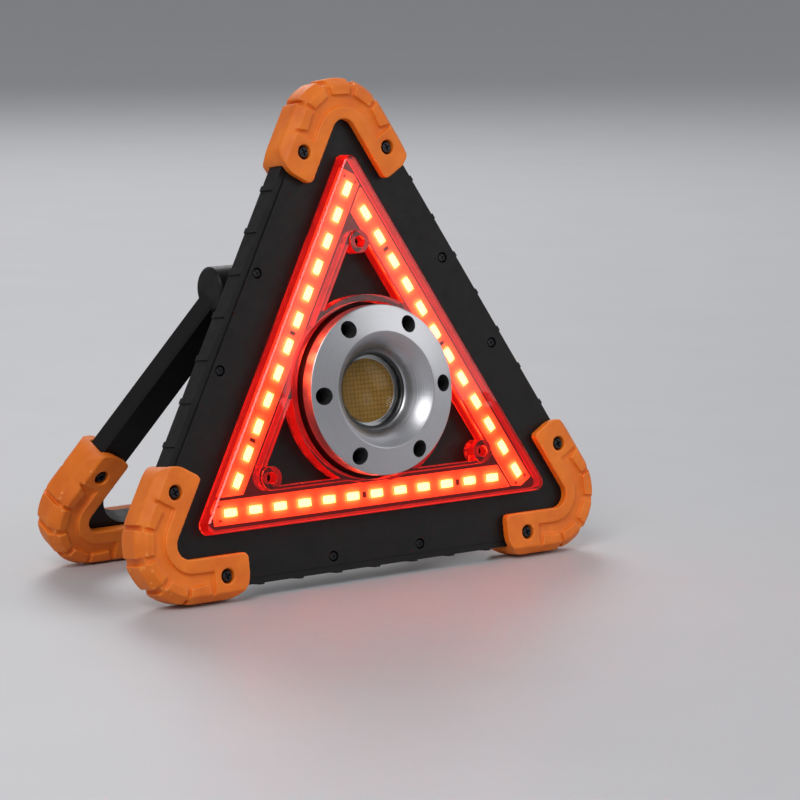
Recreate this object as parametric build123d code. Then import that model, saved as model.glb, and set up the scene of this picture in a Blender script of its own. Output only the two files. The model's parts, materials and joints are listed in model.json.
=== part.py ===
"""Folding warning triangle with a work lamp in its centre.

Every piece is drawn in the panel frame: x to the right, y up the panel, z out of the front, with
the lamp's axis as origin and z = 0 on the parting plane of the two housing halves.  At the end the
panel is leaned back, the stand is swung out, and the whole is set on the floor at Z = 0 with its
front facing -Y.  All sizes are millimetres and degrees.
"""
from build123d import *
import math
import os

os.makedirs("parts", exist_ok=True)

# ---- stance -------------------------------------------------------------------------------------
LEAN = 8.9                # the panel leans back from upright
OPENING = 31.5            # the stand's swing from folded flat to the rest pose
SIN_60 = math.sin(math.radians(60))

# ---- panel --------------------------------------------------------------------------------------
BODY_INRADIUS = 61.0      # centre to the middle of an edge
BODY_CORNER_R = 17.3
CORNER_CENTRE = 2 * (BODY_INRADIUS - BODY_CORNER_R)   # every corner arc is struck from here
ARC_START = CORNER_CENTRE * SIN_60                    # from an edge's middle to its corner arc
WALL = 2.2
HALF_EDGE = 4.1           # each housing half is this deep at its edge
FRONT_Z = HALF_EDGE
REAR_Z = -HALF_EDGE
RIM_WIDTH = 2.4           # the front face steps down this far in from its edge
RIM_INRADIUS = BODY_INRADIUS - RIM_WIDTH
RIM_STEP = 0.5
FRONT_INNER_Z = FRONT_Z - WALL
REAR_INNER_Z = REAR_Z + WALL
GRIP_RIB_COUNT = 7
GRIP_RIB_WIDTH = 2.0
GRIP_RIB_PROUD = 0.5
FIT = 0.1                 # clearance between pieces that are fitted by hand
PEG_FIT = 0.05            # radial clearance of screws and pins in their holes

# ---- corner bumpers -----------------------------------------------------------------------------
BUMPER_WALL = 3.8
BUMPER_INRADIUS = BODY_INRADIUS + BUMPER_WALL
BUMPER_HALF = 7.5
BUMPER_FLAT_HALF = 4.0    # the outer side is flat this far each way from the mid-plane
BUMPER_BEVEL = 2.8
BUMPER_COVERS = 11.5      # how far the bumper laps over the panel's faces
BUMPER_INNER = BODY_INRADIUS - BUMPER_COVERS
BUMPER_INNER_RADIUS = 5.0
LIP_WIDTH = 5.0
LIP_OUTER = BUMPER_INNER + LIP_WIDTH
CHANNEL_DEPTH = 1.3
LOBE_LENGTH = 21.0        # the bumper runs this far past its corner arc
LOBE_RAISED = 13.8        # this much of it is the raised lobe round the screw
LOBE_END = ARC_START - LOBE_LENGTH
LOBE_TOP = LOBE_END + LOBE_RAISED
GRIP_RIB_PITCH = (LOBE_END - 6.7) * 2 / (GRIP_RIB_COUNT - 1)
LOBE_OUTER_RADIUS = 8.0
LOBE_INNER_RADIUS = 1.8
TREAD_ANGLES = (-65, -34, 0, 34, 65)
TREAD_HALF_ANGLE = 13.2
TREAD_INNER_RADIUS = 15.0
TREAD_GROOVE_RADIUS = 19.3
BUMPER_SCREW_IN = 4.33    # in from the panel's edge
BUMPER_SCREW_BACK = 12.2  # back from the start of the corner arc
BUMPER_RECESS_R = 2.6
BUMPER_RECESS_DEPTH = 2.5
BUMPER_SCREW_HEAD_R = 2.3
BUMPER_SCREW_R = 1.35

# ---- light strips and their cover ---------------------------------------------------------------
STRIP_MIDDLE = 35.7       # from the lamp's axis to the row of light chips
STRIP_INNER = 31.5
STRIP_OUTER = 39.8
STRIP_THICK = 1.0
BED_RISE = 0.7            # the strips lie on a bed that stands this proud of the front face
BED_Z = FRONT_Z + BED_RISE
CHIP_COUNT = 12
CHIP_PITCH = 10.0
CHIP_FIRST = -60.0
CHIP_LENGTH = 5.7
CHIP_WIDTH = 3.0
CHIP_HEIGHT = 0.7
RESISTOR_PLACES = (-5.0, 35.0)
RESISTOR_SIZE = (1.2, 2.0, 0.5)
COVER_OUTER = 42.6
COVER_HEIGHT = 5.6
COVER_WALL = 1.2
COVER_DRAFT = 6.0
COVER_TOP_Z = FRONT_Z + COVER_HEIGHT
COVER_INNER = 28.8
COVER_CORNER = 3.4
COVER_EASE = 0.6
COVER_RING_WIDTH = 2.4    # the cover has a ring round the lamp, this wide
COVER_LAMP_GAP = 1.9
COVER_BOSS_PLACE = 51.4
COVER_BOSS_R = 4.0
COVER_BOSS_RISE = 0.7
COVER_RECESS_R = 2.0
COVER_SEAT_Z = FRONT_Z + 1.9
COVER_SCREW_R = 1.15

# ---- centre lamp --------------------------------------------------------------------------------
FLANGE_R = 29.4
FLANGE_REAR_Z = 10.9
FLANGE_RIM_Z = 16.3
BOWL_RIM_Z = 18.5
BOWL_RIM_R = 20.2
BOWL_THROAT_R = 13.9
BOWL_THROAT_Z = 10.3
EDGE_BREAK = 0.4
OPTIC_R = 13.3
OPTIC_SEAT_Z = 7.5
OPTIC_EDGE = 1.2
OPTIC_RISE = 3.4
OPTIC_CLEAR_R = 12.1
OPTIC_LEDGE_R = 11.6
RETAINER_HEIGHT = 1.2
SPIGOT_R = 16.5
SPIGOT_END_Z = 5.7
COLLAR_R = 28.9
COLLAR_BORE_R = SPIGOT_R + 0.2
COVER_BORE_R = COLLAR_R + COVER_LAMP_GAP
COVER_RING_R = COVER_BORE_R + COVER_RING_WIDTH
BEZEL_HOLE_R = 3.0
BEZEL_HOLE_PLACE = 25.0
BEZEL_HOLE_COUNT = 6
BEZEL_POCKET_Z = 6.0
BEZEL_POCKET_R = BEZEL_HOLE_R + 0.3
LAMP_SCREW_PLACE = 21.5
LAMP_SCREW_R = 1.45
LAMP_SCREW_TIP_Z = 13.5
BOARD_DISC_R = 14.5
BOARD_DISC_THICK = 1.2
PHOSPHOR_R = 10.8
PHOSPHOR_THICK = 0.8
SINK_R = 25.5
SINK_THICK = 3.0
SINK_PEDESTAL_R = 15.5
SINK_REAR_Z = FRONT_INNER_Z - SINK_THICK
FIN_COUNT = 7
FIN_PITCH = 4.6
FIN_THICK = 1.3
FIN_FIELD_R = 17.5
FIN_HEIGHT = 5.6

# ---- hinge and stand ----------------------------------------------------------------------------
HINGE_Y = 39.5
HINGE_Z = -25.5
KNUCKLE_R = 8.0
KNUCKLE_OUTER_X = 40.5
KNUCKLE_LENGTH = 19.9
HINGE_GAP = 0.6
HINGE_PIN_R = 2.5
HINGE_PIN_REACH = 15.4    # how far the pin runs into the knuckle
HINGE_PIN_HEAD = 1.8
WASHER_R = 5.5
WASHER_THICK = 0.45
STAND_INSET = 8.0         # each leg stands this far inboard of the panel's edge
LEG_WIDTH = 12.1
LEG_CORNER_R = 12.0
LEG_EDGE_BREAK = 0.8

# ---- rear pod with cells, board, button and socket ----------------------------------------------
POD_WALL = 2.0
POD_BACK_Z = -30.5
POD_FLOOR_Z = POD_BACK_Z + POD_WALL
POD_BOTTOM = -42.0
HINGE_PIN_HEAD_R = HINGE_Z - POD_FLOOR_Z - FIT
POD_HALF = 38.0
POD_SHOULDER_LOW = 0.0
POD_SHOULDER_HIGH = 28.0
POD_TOP_HALF = KNUCKLE_OUTER_X - KNUCKLE_LENGTH - HINGE_GAP
POD_TOP = HINGE_Y + KNUCKLE_R
POD_ROUND = 3.0
POD_EDGE_ROUND = 1.6
POD_SCREW_PLACES = ((17.6, 24.0), (29.4, 5.2))
POD_TAB_R = 4.0
POD_BOSS_R = 3.0
POD_BOSS_LENGTH = 10.0
PIN_LUG_R = 4.8
PIN_LUG_LENGTH = 4.0
CELL_R = 9.1
CELL_LENGTH = 65.0
CELL_Z = -18.0
CELL_GAP = 1.2
CELL_LOW_Y = POD_BOTTOM + POD_WALL + 0.4 + CELL_R
CELL_PLACES = (CELL_LOW_Y, CELL_LOW_Y + 2 * CELL_R + CELL_GAP)
PARTITION_Y = CELL_PLACES[1] + CELL_R + 1.0
PARTITION_THICK = 1.6
CRADLE_X = 19.0
CRADLE_THICK = 2.0
CONTACT_THICK = 0.5
CONTACT_SIZE = 10.0
HATCH_THICK = 1.2
HATCH_LEDGE = 2.0
HATCH_TAB_HALF = 30.0
HATCH_TAB_TOP = 7.5
HATCH_SCREW_PLACE = (25.0, 4.2)
HATCH_BOSS_R = 2.8
BOARD_THICK = 1.6
BOARD_Z = -20.9
BOARD_HALF = 15.0
BOARD_NECK_HALF = 11.5
BOARD_NECK_Y = 31.0
BOARD_LOW_Y = PARTITION_Y + PARTITION_THICK + 2.0
BOARD_POSTS = ((11.0, BOARD_LOW_Y + 3.5), (11.0, 27.0))
POST_R = 2.4
BUTTON_Y = 17.5
BUTTON_R = 6.0
BUTTON_PROUD = 1.8
BUTTON_FLANGE_R = 7.4
BUTTON_FLANGE = 1.2
BUTTON_SLACK = 0.4
BUTTON_TRAVEL = 0.5
BUTTON_STEM_R = 2.0
BUTTON_STEM = 0.9
SWITCH_SIDE = 6.0
SWITCH_HEIGHT = 3.5
SWITCH_PLUNGER_R = 1.75
SOCKET_SIZE = (8.9, 7.5, 3.2)
SOCKET_WALL = 0.4
SOCKET_INSET = 1.5        # the socket's mouth sits this far below the pod's top
PORT_SIZE = (9.8, 4.2)
FLAP_HALF = 8.0
FLAP_THICK = 1.6
FLAP_LENGTH = 10.4
FLAP_BAR_R = 0.9
FLAP_BAR_Z = -12.1
FLAP_PLUG = (8.6, 1.0, 3.0)
FLAP_EAR = 1.4
FLAP_EAR_GAP = 0.8

# ---- small screws -------------------------------------------------------------------------------
SMALL_HEAD_R = 1.8
SMALL_HEAD = 1.2
HOUSING_SCREW_PLACE = (18.25, BODY_INRADIUS - 5.5)
HOUSING_RECESS = 1.4
HOUSING_SCREW_R = 1.15
HOUSING_BOSS_R = 3.2

CORNER_TURNS = {"top": 0, "left": 120, "right": 240}
EDGE_TURNS = {"bottom": 0, "right": 120, "left": 240}

# the stand's triangle is the panel's, smaller by this much and lowered to meet the floor
STAND_SHRINK = STAND_INSET * SIN_60 * 2 / 3
lean = math.radians(LEAN)
spread = math.radians(OPENING - LEAN)
PANEL_FLOOR = BUMPER_INRADIUS * math.cos(lean) + BUMPER_FLAT_HALF * math.sin(lean)
HINGE_HEIGHT = HINGE_Y * math.cos(lean) + HINGE_Z * math.sin(lean)
STAND_REACH = (HINGE_HEIGHT + PANEL_FLOOR - BUMPER_FLAT_HALF * math.sin(spread)) / math.cos(spread)
STAND_DROP = STAND_REACH - HINGE_Y - BUMPER_INRADIUS


# ---- shared shapes ------------------------------------------------------------------------------
def flat(points):
    """A flat face with the given corners."""
    return Polygon(*points, align=None)


def triangle(inradius, corner_radius):
    """An equilateral outline about the lamp's axis, one corner up, with rounded corners."""
    half_side = inradius * math.sqrt(3)
    sharp = flat([(-half_side, -inradius), (half_side, -inradius), (0, 2 * inradius)])
    return fillet(sharp.vertices(), corner_radius)


def outline(inradius):
    """A panel outline whose corner arcs are all struck from the same centres."""
    return triangle(inradius, inradius - CORNER_CENTRE / 2)


def slab(face, low, high):
    """A flat outline made solid between two heights."""
    return extrude(Pos(0, 0, low) * face, high - low)


def rod(radius, low, high, x=0.0, y=0.0):
    """An upright cylinder between two heights."""
    return slab(Pos(x, y) * Circle(radius), low, high)


def block(x_range, y_range, z_range):
    """A box between the given limits."""
    width, depth, height = (high - low for low, high in (x_range, y_range, z_range))
    centre = [(low + high) / 2 for low, high in (x_range, y_range, z_range)]
    return Pos(*centre) * Box(width, depth, height)


def cross_rod(radius, x_low, x_high, y, z):
    """A cylinder along x."""
    return Pos((x_low + x_high) / 2, y, z) * Rot(0, 90, 0) * Cylinder(radius, x_high - x_low)


def turned(shape, degrees):
    """The shape turned about the lamp's axis."""
    return Rot(0, 0, degrees) * shape


def polar(radius, degrees):
    """A point at a radius and angle from the lamp's axis."""
    angle = math.radians(degrees)
    return radius * math.cos(angle), radius * math.sin(angle)


def ring(points):
    """A turned piece from its half section, given as (radius, height) points."""
    return revolve(Plane.XZ * flat(points), Axis.Z)


def mirrored(shape):
    """The shape together with its mirror image across the panel's centre line."""
    return shape + mirror(shape, about=Plane.YZ)


def screw(head_radius, head, shank_radius, seat_z, tip_z):
    """A pan-head screw with a cross slot; its head rests on seat_z and its tip is at tip_z."""
    up = 1 if seat_z > tip_z else -1
    cap = rod(head_radius, min(seat_z, seat_z + up * head), max(seat_z, seat_z + up * head))
    shank = rod(shank_radius, min(seat_z, tip_z), max(seat_z, tip_z))
    slot_z = seat_z + up * head
    arm = Box(head_radius * 1.2, head_radius * 0.3, head * 0.9)
    return cap + shank - Pos(0, 0, slot_z) * (arm + Rot(0, 0, 90) * arm)


def housing_screw_places():
    """Every place on the panel where a screw joins the two halves."""
    x, y = HOUSING_SCREW_PLACE
    for turn in EDGE_TURNS.values():
        for side in (-1, 1):
            yield (Rot(0, 0, turn) * Pos(side * x, -y)).position


def corner_screw_places():
    """The two bumper screws of the top corner."""
    from_edge = BODY_INRADIUS - BUMPER_SCREW_IN
    along = ARC_START - BUMPER_SCREW_BACK
    x, y = from_edge * SIN_60 - along / 2, from_edge / 2 + along * SIN_60
    return [(-x, y), (x, y)]


def cover_boss_places():
    """The three screws of the strip cover, one in each inner corner."""
    return [polar(COVER_BOSS_PLACE, 90 + turn) for turn in CORNER_TURNS.values()]


def lamp_screw_places():
    """Three screws clamp the bezel, set between its holes."""
    return [polar(LAMP_SCREW_PLACE, 30 + 120 * number) for number in range(3)]


# ---- corner bumper ------------------------------------------------------------------------------
def lobe_zone(from_middle):
    """The part of the plane nearer the top corner than the given distance along each edge."""
    apex = from_middle / SIN_60
    reach = 2 * BUMPER_INRADIUS
    return flat([(0, apex), (reach, apex + reach / math.sqrt(3)), (reach, 3 * reach),
                 (-reach, 3 * reach), (-reach, apex + reach / math.sqrt(3))])


def bumper_plan():
    """Outline of a bumper: a band round the corner that ends in two rounded lobes."""
    band = outline(BUMPER_INRADIUS) & lobe_zone(LOBE_END)
    band -= triangle(BUMPER_INNER, BUMPER_INNER_RADIUS)
    for inradius, radius in ((BUMPER_INRADIUS, LOBE_OUTER_RADIUS), (BUMPER_INNER, LOBE_INNER_RADIUS)):
        for side in (-1, 1):
            tip = Vector(side * (inradius * SIN_60 - LOBE_END / 2), inradius / 2 + LOBE_END * SIN_60)
            band = fillet(band.vertices().sort_by_distance(tip)[0], radius)
    return band


def bevelled_block(inradius, half, flat_half, bevel):
    """A panel outline made solid, with the same bevel on its front and back edges."""
    draft = math.degrees(math.atan2(bevel, half - flat_half))
    top = extrude(Pos(0, 0, flat_half) * outline(inradius), half - flat_half, taper=draft)
    return slab(outline(inradius), -flat_half, flat_half) + top + mirror(top, about=Plane.XY)


def tread(angle):
    """One raised tread block's sector."""
    far = 2 * TREAD_INNER_RADIUS
    near_half = TREAD_INNER_RADIUS * math.tan(math.radians(TREAD_HALF_ANGLE))
    far_half = far * math.tan(math.radians(TREAD_HALF_ANGLE))
    sector = flat([(-near_half, TREAD_INNER_RADIUS), (near_half, TREAD_INNER_RADIUS),
                   (far_half, far), (-far_half, far)])
    return Pos(0, CORNER_CENTRE) * turned(sector, angle)


def corner_bumper():
    """The rubber corner piece, drawn for the top corner with its mid-plane at z = 0."""
    shape = slab(bumper_plan(), -BUMPER_HALF, BUMPER_HALF)
    shape &= bevelled_block(BUMPER_INRADIUS, BUMPER_HALF, BUMPER_FLAT_HALF, BUMPER_BEVEL)
    treads = Sketch() + [tread(angle) for angle in TREAD_ANGLES]
    worn = (outline(BUMPER_INRADIUS + 1) & lobe_zone(LOBE_TOP)) - outline(LIP_OUTER) - treads
    floor_z = BUMPER_HALF - CHANNEL_DEPTH
    for low, high in ((floor_z, BUMPER_HALF + 1), (-BUMPER_HALF - 1, -floor_z)):
        shape -= slab(worn, low, high)
    hub = Pos(0, CORNER_CENTRE) * Circle(TREAD_GROOVE_RADIUS)
    straight = outline(CORNER_CENTRE / 2 + TREAD_GROOVE_RADIUS)
    shape -= slab(worn - hub - straight, -BUMPER_HALF - 1, BUMPER_HALF + 1)
    shape -= slab(outline(BODY_INRADIUS + FIT), -HALF_EDGE - FIT, HALF_EDGE + FIT)
    for x, y in corner_screw_places():
        shape -= rod(BUMPER_RECESS_R, BUMPER_HALF - BUMPER_RECESS_DEPTH, BUMPER_HALF, x, y)
        shape -= rod(BUMPER_SCREW_R + PEG_FIT, REAR_Z - BUMPER_RECESS_DEPTH, BUMPER_HALF, x, y)
    return shape


def corner_screws():
    """The two screws that hold a bumper on."""
    seat = BUMPER_HALF - BUMPER_RECESS_DEPTH
    one = screw(BUMPER_SCREW_HEAD_R, 1.8, BUMPER_SCREW_R, seat, REAR_Z - 2)
    return [Pos(x, y) * one for x, y in corner_screw_places()]


# ---- housing ------------------------------------------------------------------------------------
def grip_ribs(low, high):
    """Small upright ribs along the three edges."""
    rib_x = [(number - (GRIP_RIB_COUNT - 1) / 2) * GRIP_RIB_PITCH for number in range(GRIP_RIB_COUNT)]
    half = GRIP_RIB_WIDTH / 2
    y_range = (-BODY_INRADIUS - GRIP_RIB_PROUD, -BODY_INRADIUS + GRIP_RIB_PROUD)
    edge = Part() + [block((x - half, x + half), y_range, (low, high)) for x in rib_x]
    return Part() + [turned(edge, turn) for turn in EDGE_TURNS.values()]


def joining_bosses(low, high):
    """Bosses for the housing screws and pads for the bumper screws inside one half."""
    posts = [rod(HOUSING_BOSS_R, low, high, place.X, place.Y) for place in housing_screw_places()]
    pad = Part() + [rod(4.0, low, high, x, y) for x, y in corner_screw_places()]
    pads = [turned(pad, turn) for turn in CORNER_TURNS.values()]
    keep = slab(outline(BODY_INRADIUS - WALL / 2), low, high)
    return (Part() + posts + pads) & keep


def through_holes(low, high, housing_radius):
    """The joining screws' and bumper screws' holes through one half."""
    holes = [rod(housing_radius, low, high, place.X, place.Y) for place in housing_screw_places()]
    pair = Part() + [rod(BUMPER_SCREW_R + FIT, low - 1, high + 1, x, y)
                     for x, y in corner_screw_places()]
    return Part() + holes + [turned(pair, turn) for turn in CORNER_TURNS.values()]


def strip_bed(grow):
    """The raised bed that the light strips lie on, or the room it needs in the cover."""
    band = triangle(STRIP_OUTER + 1 + grow, 2.0) - triangle(STRIP_INNER - 0.8 - grow, 2.0)
    return slab(band, FRONT_Z, BED_Z + grow)


def front_housing():
    """Front half: stepped rim, strip bed, lamp collar, screw recesses."""
    shape = slab(outline(BODY_INRADIUS), 0, FRONT_Z - RIM_STEP)
    shape += slab(outline(RIM_INRADIUS), FRONT_Z - RIM_STEP, FRONT_Z)
    shape += grip_ribs(0, FRONT_Z - RIM_STEP)
    shape -= slab(outline(BODY_INRADIUS - WALL), 0, FRONT_INNER_Z)
    shape += joining_bosses(0, FRONT_INNER_Z)
    shape += strip_bed(0)
    shape += rod(COLLAR_R, FRONT_Z, FLANGE_REAR_Z)
    shape -= rod(COLLAR_BORE_R, 0, FLANGE_REAR_Z)
    for x, y in cover_boss_places():
        shape += rod(HOUSING_BOSS_R, 0, FRONT_INNER_Z, x, y)
        shape -= rod(COVER_SCREW_R + PEG_FIT, 0.6, FRONT_Z + 1, x, y)
    for number in range(BEZEL_HOLE_COUNT):
        x, y = polar(BEZEL_HOLE_PLACE, number * 360 / BEZEL_HOLE_COUNT)
        shape -= rod(BEZEL_POCKET_R, BEZEL_POCKET_Z, FLANGE_REAR_Z, x, y)
    for x, y in lamp_screw_places():
        shape -= rod(LAMP_SCREW_R + FIT, 0, FLANGE_REAR_Z, x, y)
    shape -= through_holes(0, FRONT_Z, HOUSING_SCREW_R + FIT)
    for place in housing_screw_places():
        shape -= rod(SMALL_HEAD_R + FIT, FRONT_Z - HOUSING_RECESS, FRONT_Z, place.X, place.Y)
    return shape


def pod_plan(inset):
    """Outline of the rear pod, narrow at the hinge and wide at the cells."""
    low, high, shoulder = POD_BOTTOM + inset, POD_TOP - inset, inset * 0.3
    half, top_half = POD_HALF - inset, POD_TOP_HALF - inset
    points = [(-half, low), (half, low), (half, POD_SHOULDER_LOW - shoulder),
              (top_half, POD_SHOULDER_HIGH - shoulder), (top_half, high), (-top_half, high),
              (-top_half, POD_SHOULDER_HIGH - shoulder), (-half, POD_SHOULDER_LOW - shoulder)]
    shape = flat(points)
    return fillet(shape.vertices(), POD_ROUND if inset == 0 else POD_ROUND - 1.2)


def hatch_plan(inset):
    """Outline of the cell hatch: a wide plate with a narrower tab above it."""
    half = POD_HALF - POD_WALL - inset
    plate = Rectangle(2 * half, CELL_PLACES[1] - CELL_PLACES[0] + 2 * (CELL_R - inset))
    plate = Pos(0, sum(CELL_PLACES) / 2) * plate
    tab_half = HATCH_TAB_HALF - inset
    tab = Rectangle(2 * tab_half, HATCH_TAB_TOP - inset - CELL_PLACES[1])
    tab = Pos(0, (HATCH_TAB_TOP - inset + CELL_PLACES[1]) / 2) * tab
    shape = plate + tab
    return fillet(shape.vertices(), 1.5)


def cell_shapes(grow):
    """The two cells, or the room they need."""
    half = CELL_LENGTH / 2
    return [cross_rod(CELL_R + grow, -half, half, y, CELL_Z) for y in CELL_PLACES]


def pod_inside():
    """Ribs, posts, lugs and saddles inside the pod."""
    partition_z = (POD_FLOOR_Z, REAR_Z - 3)
    pieces = [block((-POD_HALF + 1, POD_HALF - 1), (PARTITION_Y, PARTITION_Y + PARTITION_THICK),
                    partition_z)]
    for side in (-1, 1):
        x = side * CRADLE_X
        saddle = block((x - CRADLE_THICK / 2, x + CRADLE_THICK / 2),
                       (POD_BOTTOM + 1, PARTITION_Y + 0.5), (CELL_Z, REAR_Z - 4))
        pieces.append(saddle - cell_shapes(0.3))
        for post_x, post_y in BOARD_POSTS:
            pieces.append(rod(POST_R, POD_FLOOR_Z, BOARD_Z, side * post_x, post_y))
        boss_x, boss_y = HATCH_SCREW_PLACE
        pieces.append(rod(HATCH_BOSS_R, POD_BACK_Z + HATCH_THICK, BOARD_Z, side * boss_x, boss_y))
        inner = side * (POD_TOP_HALF - PIN_LUG_LENGTH)
        outer = side * (POD_TOP_HALF - POD_WALL / 2)
        pieces.append(cross_rod(PIN_LUG_R, min(inner, outer), max(inner, outer), HINGE_Y, HINGE_Z))
    return Part() + pieces


def flap_ears():
    """Two small ears on the pod's top that hold the port flap's bar."""
    low, high = FLAP_HALF + FLAP_EAR_GAP, FLAP_HALF + FLAP_EAR_GAP + FLAP_EAR
    bar_y = POD_TOP + FIT + FLAP_BAR_R
    ear = block((low, high), (POD_TOP - 0.5, bar_y + FLAP_BAR_R + 0.6),
                (FLAP_BAR_Z - 1.7, FLAP_BAR_Z + 1.7))
    return mirrored(ear - cross_rod(FLAP_BAR_R + PEG_FIT, low - 1, high + 1, bar_y, FLAP_BAR_Z))


def pod_screw_places():
    """The four screws that hold the pod on the rear housing."""
    return [(side * x, y) for x, y in POD_SCREW_PLACES for side in (-1, 1)]


def rear_housing():
    """Rear half: a shallow tray with a window into the pod and four tabs for the pod's screws."""
    shape = slab(outline(BODY_INRADIUS), REAR_Z, 0) + grip_ribs(REAR_Z, 0)
    shape -= slab(outline(BODY_INRADIUS - WALL), REAR_INNER_Z, 0)
    shape += joining_bosses(REAR_INNER_Z, 0)
    window = slab(pod_plan(POD_WALL), REAR_Z, REAR_INNER_Z)
    for x, y in pod_screw_places():
        window -= rod(POD_TAB_R, REAR_Z, REAR_INNER_Z, x, y)
    shape -= window
    for x, y in pod_screw_places():
        shape -= rod(HOUSING_SCREW_R + FIT, REAR_Z, REAR_INNER_Z, x, y)
    return shape - through_holes(REAR_Z + 0.8, 0, HOUSING_SCREW_R + PEG_FIT)


def rear_pod():
    """Moulded box on the back that holds the cells, board, button, socket and hinge pins."""
    pod = slab(pod_plan(0), POD_BACK_Z, REAR_Z)
    shape = fillet(pod.faces().sort_by(Axis.Z)[0].edges(), POD_EDGE_ROUND)
    shape -= slab(pod_plan(POD_WALL), POD_FLOOR_Z, REAR_Z)
    inside = pod_inside()
    for x, y in pod_screw_places():
        inside += rod(POD_BOSS_R, REAR_Z - POD_BOSS_LENGTH, REAR_Z, x, y)
    shape += inside & slab(pod_plan(POD_WALL / 2), POD_BACK_Z + 0.5, REAR_Z)
    shape += flap_ears()
    shape -= slab(hatch_plan(0), POD_BACK_Z, POD_BACK_Z + HATCH_THICK)
    window = hatch_plan(HATCH_LEDGE) & Pos(0, PARTITION_Y - 60) * Rectangle(120, 120)
    shape -= slab(window, POD_BACK_Z, POD_FLOOR_Z)
    shape -= rod(BUTTON_R + 0.15, POD_BACK_Z, POD_FLOOR_Z, 0, BUTTON_Y)
    port_z = BOARD_Z + BOARD_THICK + SOCKET_SIZE[2] / 2
    port = Box(PORT_SIZE[0], 2 * POD_WALL + 1, PORT_SIZE[1])
    shape -= Pos(0, POD_TOP, port_z) * port
    for x, y in pod_screw_places():
        shape -= rod(HOUSING_SCREW_R + PEG_FIT, REAR_Z - POD_BOSS_LENGTH + 1, REAR_Z, x, y)
    for side in (-1, 1):
        for post_x, post_y in BOARD_POSTS:
            shape -= rod(SMALL_HEAD_R - 0.7 + PEG_FIT, BOARD_Z - 5.5, BOARD_Z, side * post_x, post_y)
        boss_x, boss_y = HATCH_SCREW_PLACE
        shape -= rod(HOUSING_SCREW_R + PEG_FIT, POD_BACK_Z, BOARD_Z - 1, side * boss_x, boss_y)
        ends = sorted((side * (POD_TOP_HALF - PIN_LUG_LENGTH - 1), side * (POD_TOP_HALF + 1)))
        shape -= cross_rod(HINGE_PIN_R + PEG_FIT, *ends, HINGE_Y, HINGE_Z)
    return shape


def pod_screws():
    """Four screws, put in from inside the tray before it is closed."""
    one = screw(SMALL_HEAD_R + 0.2, SMALL_HEAD, HOUSING_SCREW_R, REAR_INNER_Z,
                REAR_Z - POD_BOSS_LENGTH + 1.5)
    return [Pos(x, y) * one for x, y in pod_screw_places()]


def housing_screws():
    """Six screws that join the halves."""
    one = screw(SMALL_HEAD_R - 0.1, 1.0, HOUSING_SCREW_R, FRONT_Z - HOUSING_RECESS, REAR_Z + 1)
    return [Pos(place.X, place.Y) * one for place in housing_screw_places()]


# ---- light strips -------------------------------------------------------------------------------
def strip_face(grow=0.0):
    """One strip board in the bottom edge's frame; its far end is cut to clear the next strip."""
    cut = (STRIP_OUTER - STRIP_INNER) / math.sqrt(3)
    start = CHIP_FIRST - 6
    end = CHIP_FIRST + (CHIP_COUNT - 1) * CHIP_PITCH + 3.2
    return flat([(start + 2 - grow, -STRIP_INNER + grow), (start - grow, -STRIP_INNER - 3),
                 (start - grow, -STRIP_OUTER - grow), (end + cut + grow, -STRIP_OUTER - grow),
                 (end + grow, -STRIP_INNER + grow)])


def strip_board():
    """The strip's board."""
    return slab(strip_face(), BED_Z, BED_Z + STRIP_THICK)


def strip_chips():
    """The row of light chips on one strip."""
    top = BED_Z + STRIP_THICK
    chips = []
    for number in range(CHIP_COUNT):
        x = CHIP_FIRST + number * CHIP_PITCH
        chips.append(block((x - CHIP_LENGTH / 2, x + CHIP_LENGTH / 2),
                           (-STRIP_MIDDLE - CHIP_WIDTH / 2, -STRIP_MIDDLE + CHIP_WIDTH / 2),
                           (top, top + CHIP_HEIGHT)))
    return chips


def strip_resistors():
    """Two small resistors on every strip."""
    top = BED_Z + STRIP_THICK
    width, depth, height = RESISTOR_SIZE
    pieces = []
    for turn in EDGE_TURNS.values():
        for x in RESISTOR_PLACES:
            one = Pos(x, -STRIP_MIDDLE, top + height / 2) * Box(width, depth, height)
            pieces.append(turned(one, turn))
    return pieces


def lens_cover():
    """Clear red cover over the strips: a triangular channel with a ring round the lamp."""
    hollow_height = COVER_HEIGHT - COVER_WALL
    outer = extrude(Pos(0, 0, FRONT_Z) * triangle(COVER_OUTER, COVER_CORNER), COVER_HEIGHT,
                    taper=COVER_DRAFT)
    outer = chamfer(outer.faces().sort_by(Axis.Z)[-1].edges(), COVER_EASE)
    hollow = extrude(Pos(0, 0, FRONT_Z) * triangle(COVER_OUTER - COVER_WALL, COVER_CORNER - 1),
                     hollow_height, taper=COVER_DRAFT)
    windows = triangle(COVER_INNER, COVER_CORNER) - Circle(COVER_RING_R)
    bore = Circle(COVER_BORE_R)
    wall = triangle(COVER_INNER + COVER_WALL, COVER_CORNER + COVER_WALL)
    wall += Circle(COVER_BORE_R + COVER_WALL)
    shape = outer - (hollow - slab(wall, FRONT_Z, COVER_TOP_Z))
    shape -= slab(windows, FRONT_Z, COVER_TOP_Z) + slab(bore, FRONT_Z, COVER_TOP_Z)
    for x, y in cover_boss_places():
        shape += rod(COVER_BOSS_R, FRONT_Z, COVER_TOP_Z + COVER_BOSS_RISE, x, y)
        shape -= rod(COVER_RECESS_R, COVER_SEAT_Z, COVER_TOP_Z + COVER_BOSS_RISE, x, y)
        shape -= rod(COVER_SCREW_R + FIT, FRONT_Z, COVER_SEAT_Z, x, y)
    shape -= strip_bed(FIT)
    room = slab(strip_face(FIT), BED_Z, BED_Z + STRIP_THICK + FIT)
    return shape - [turned(room, turn) for turn in EDGE_TURNS.values()]


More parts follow.
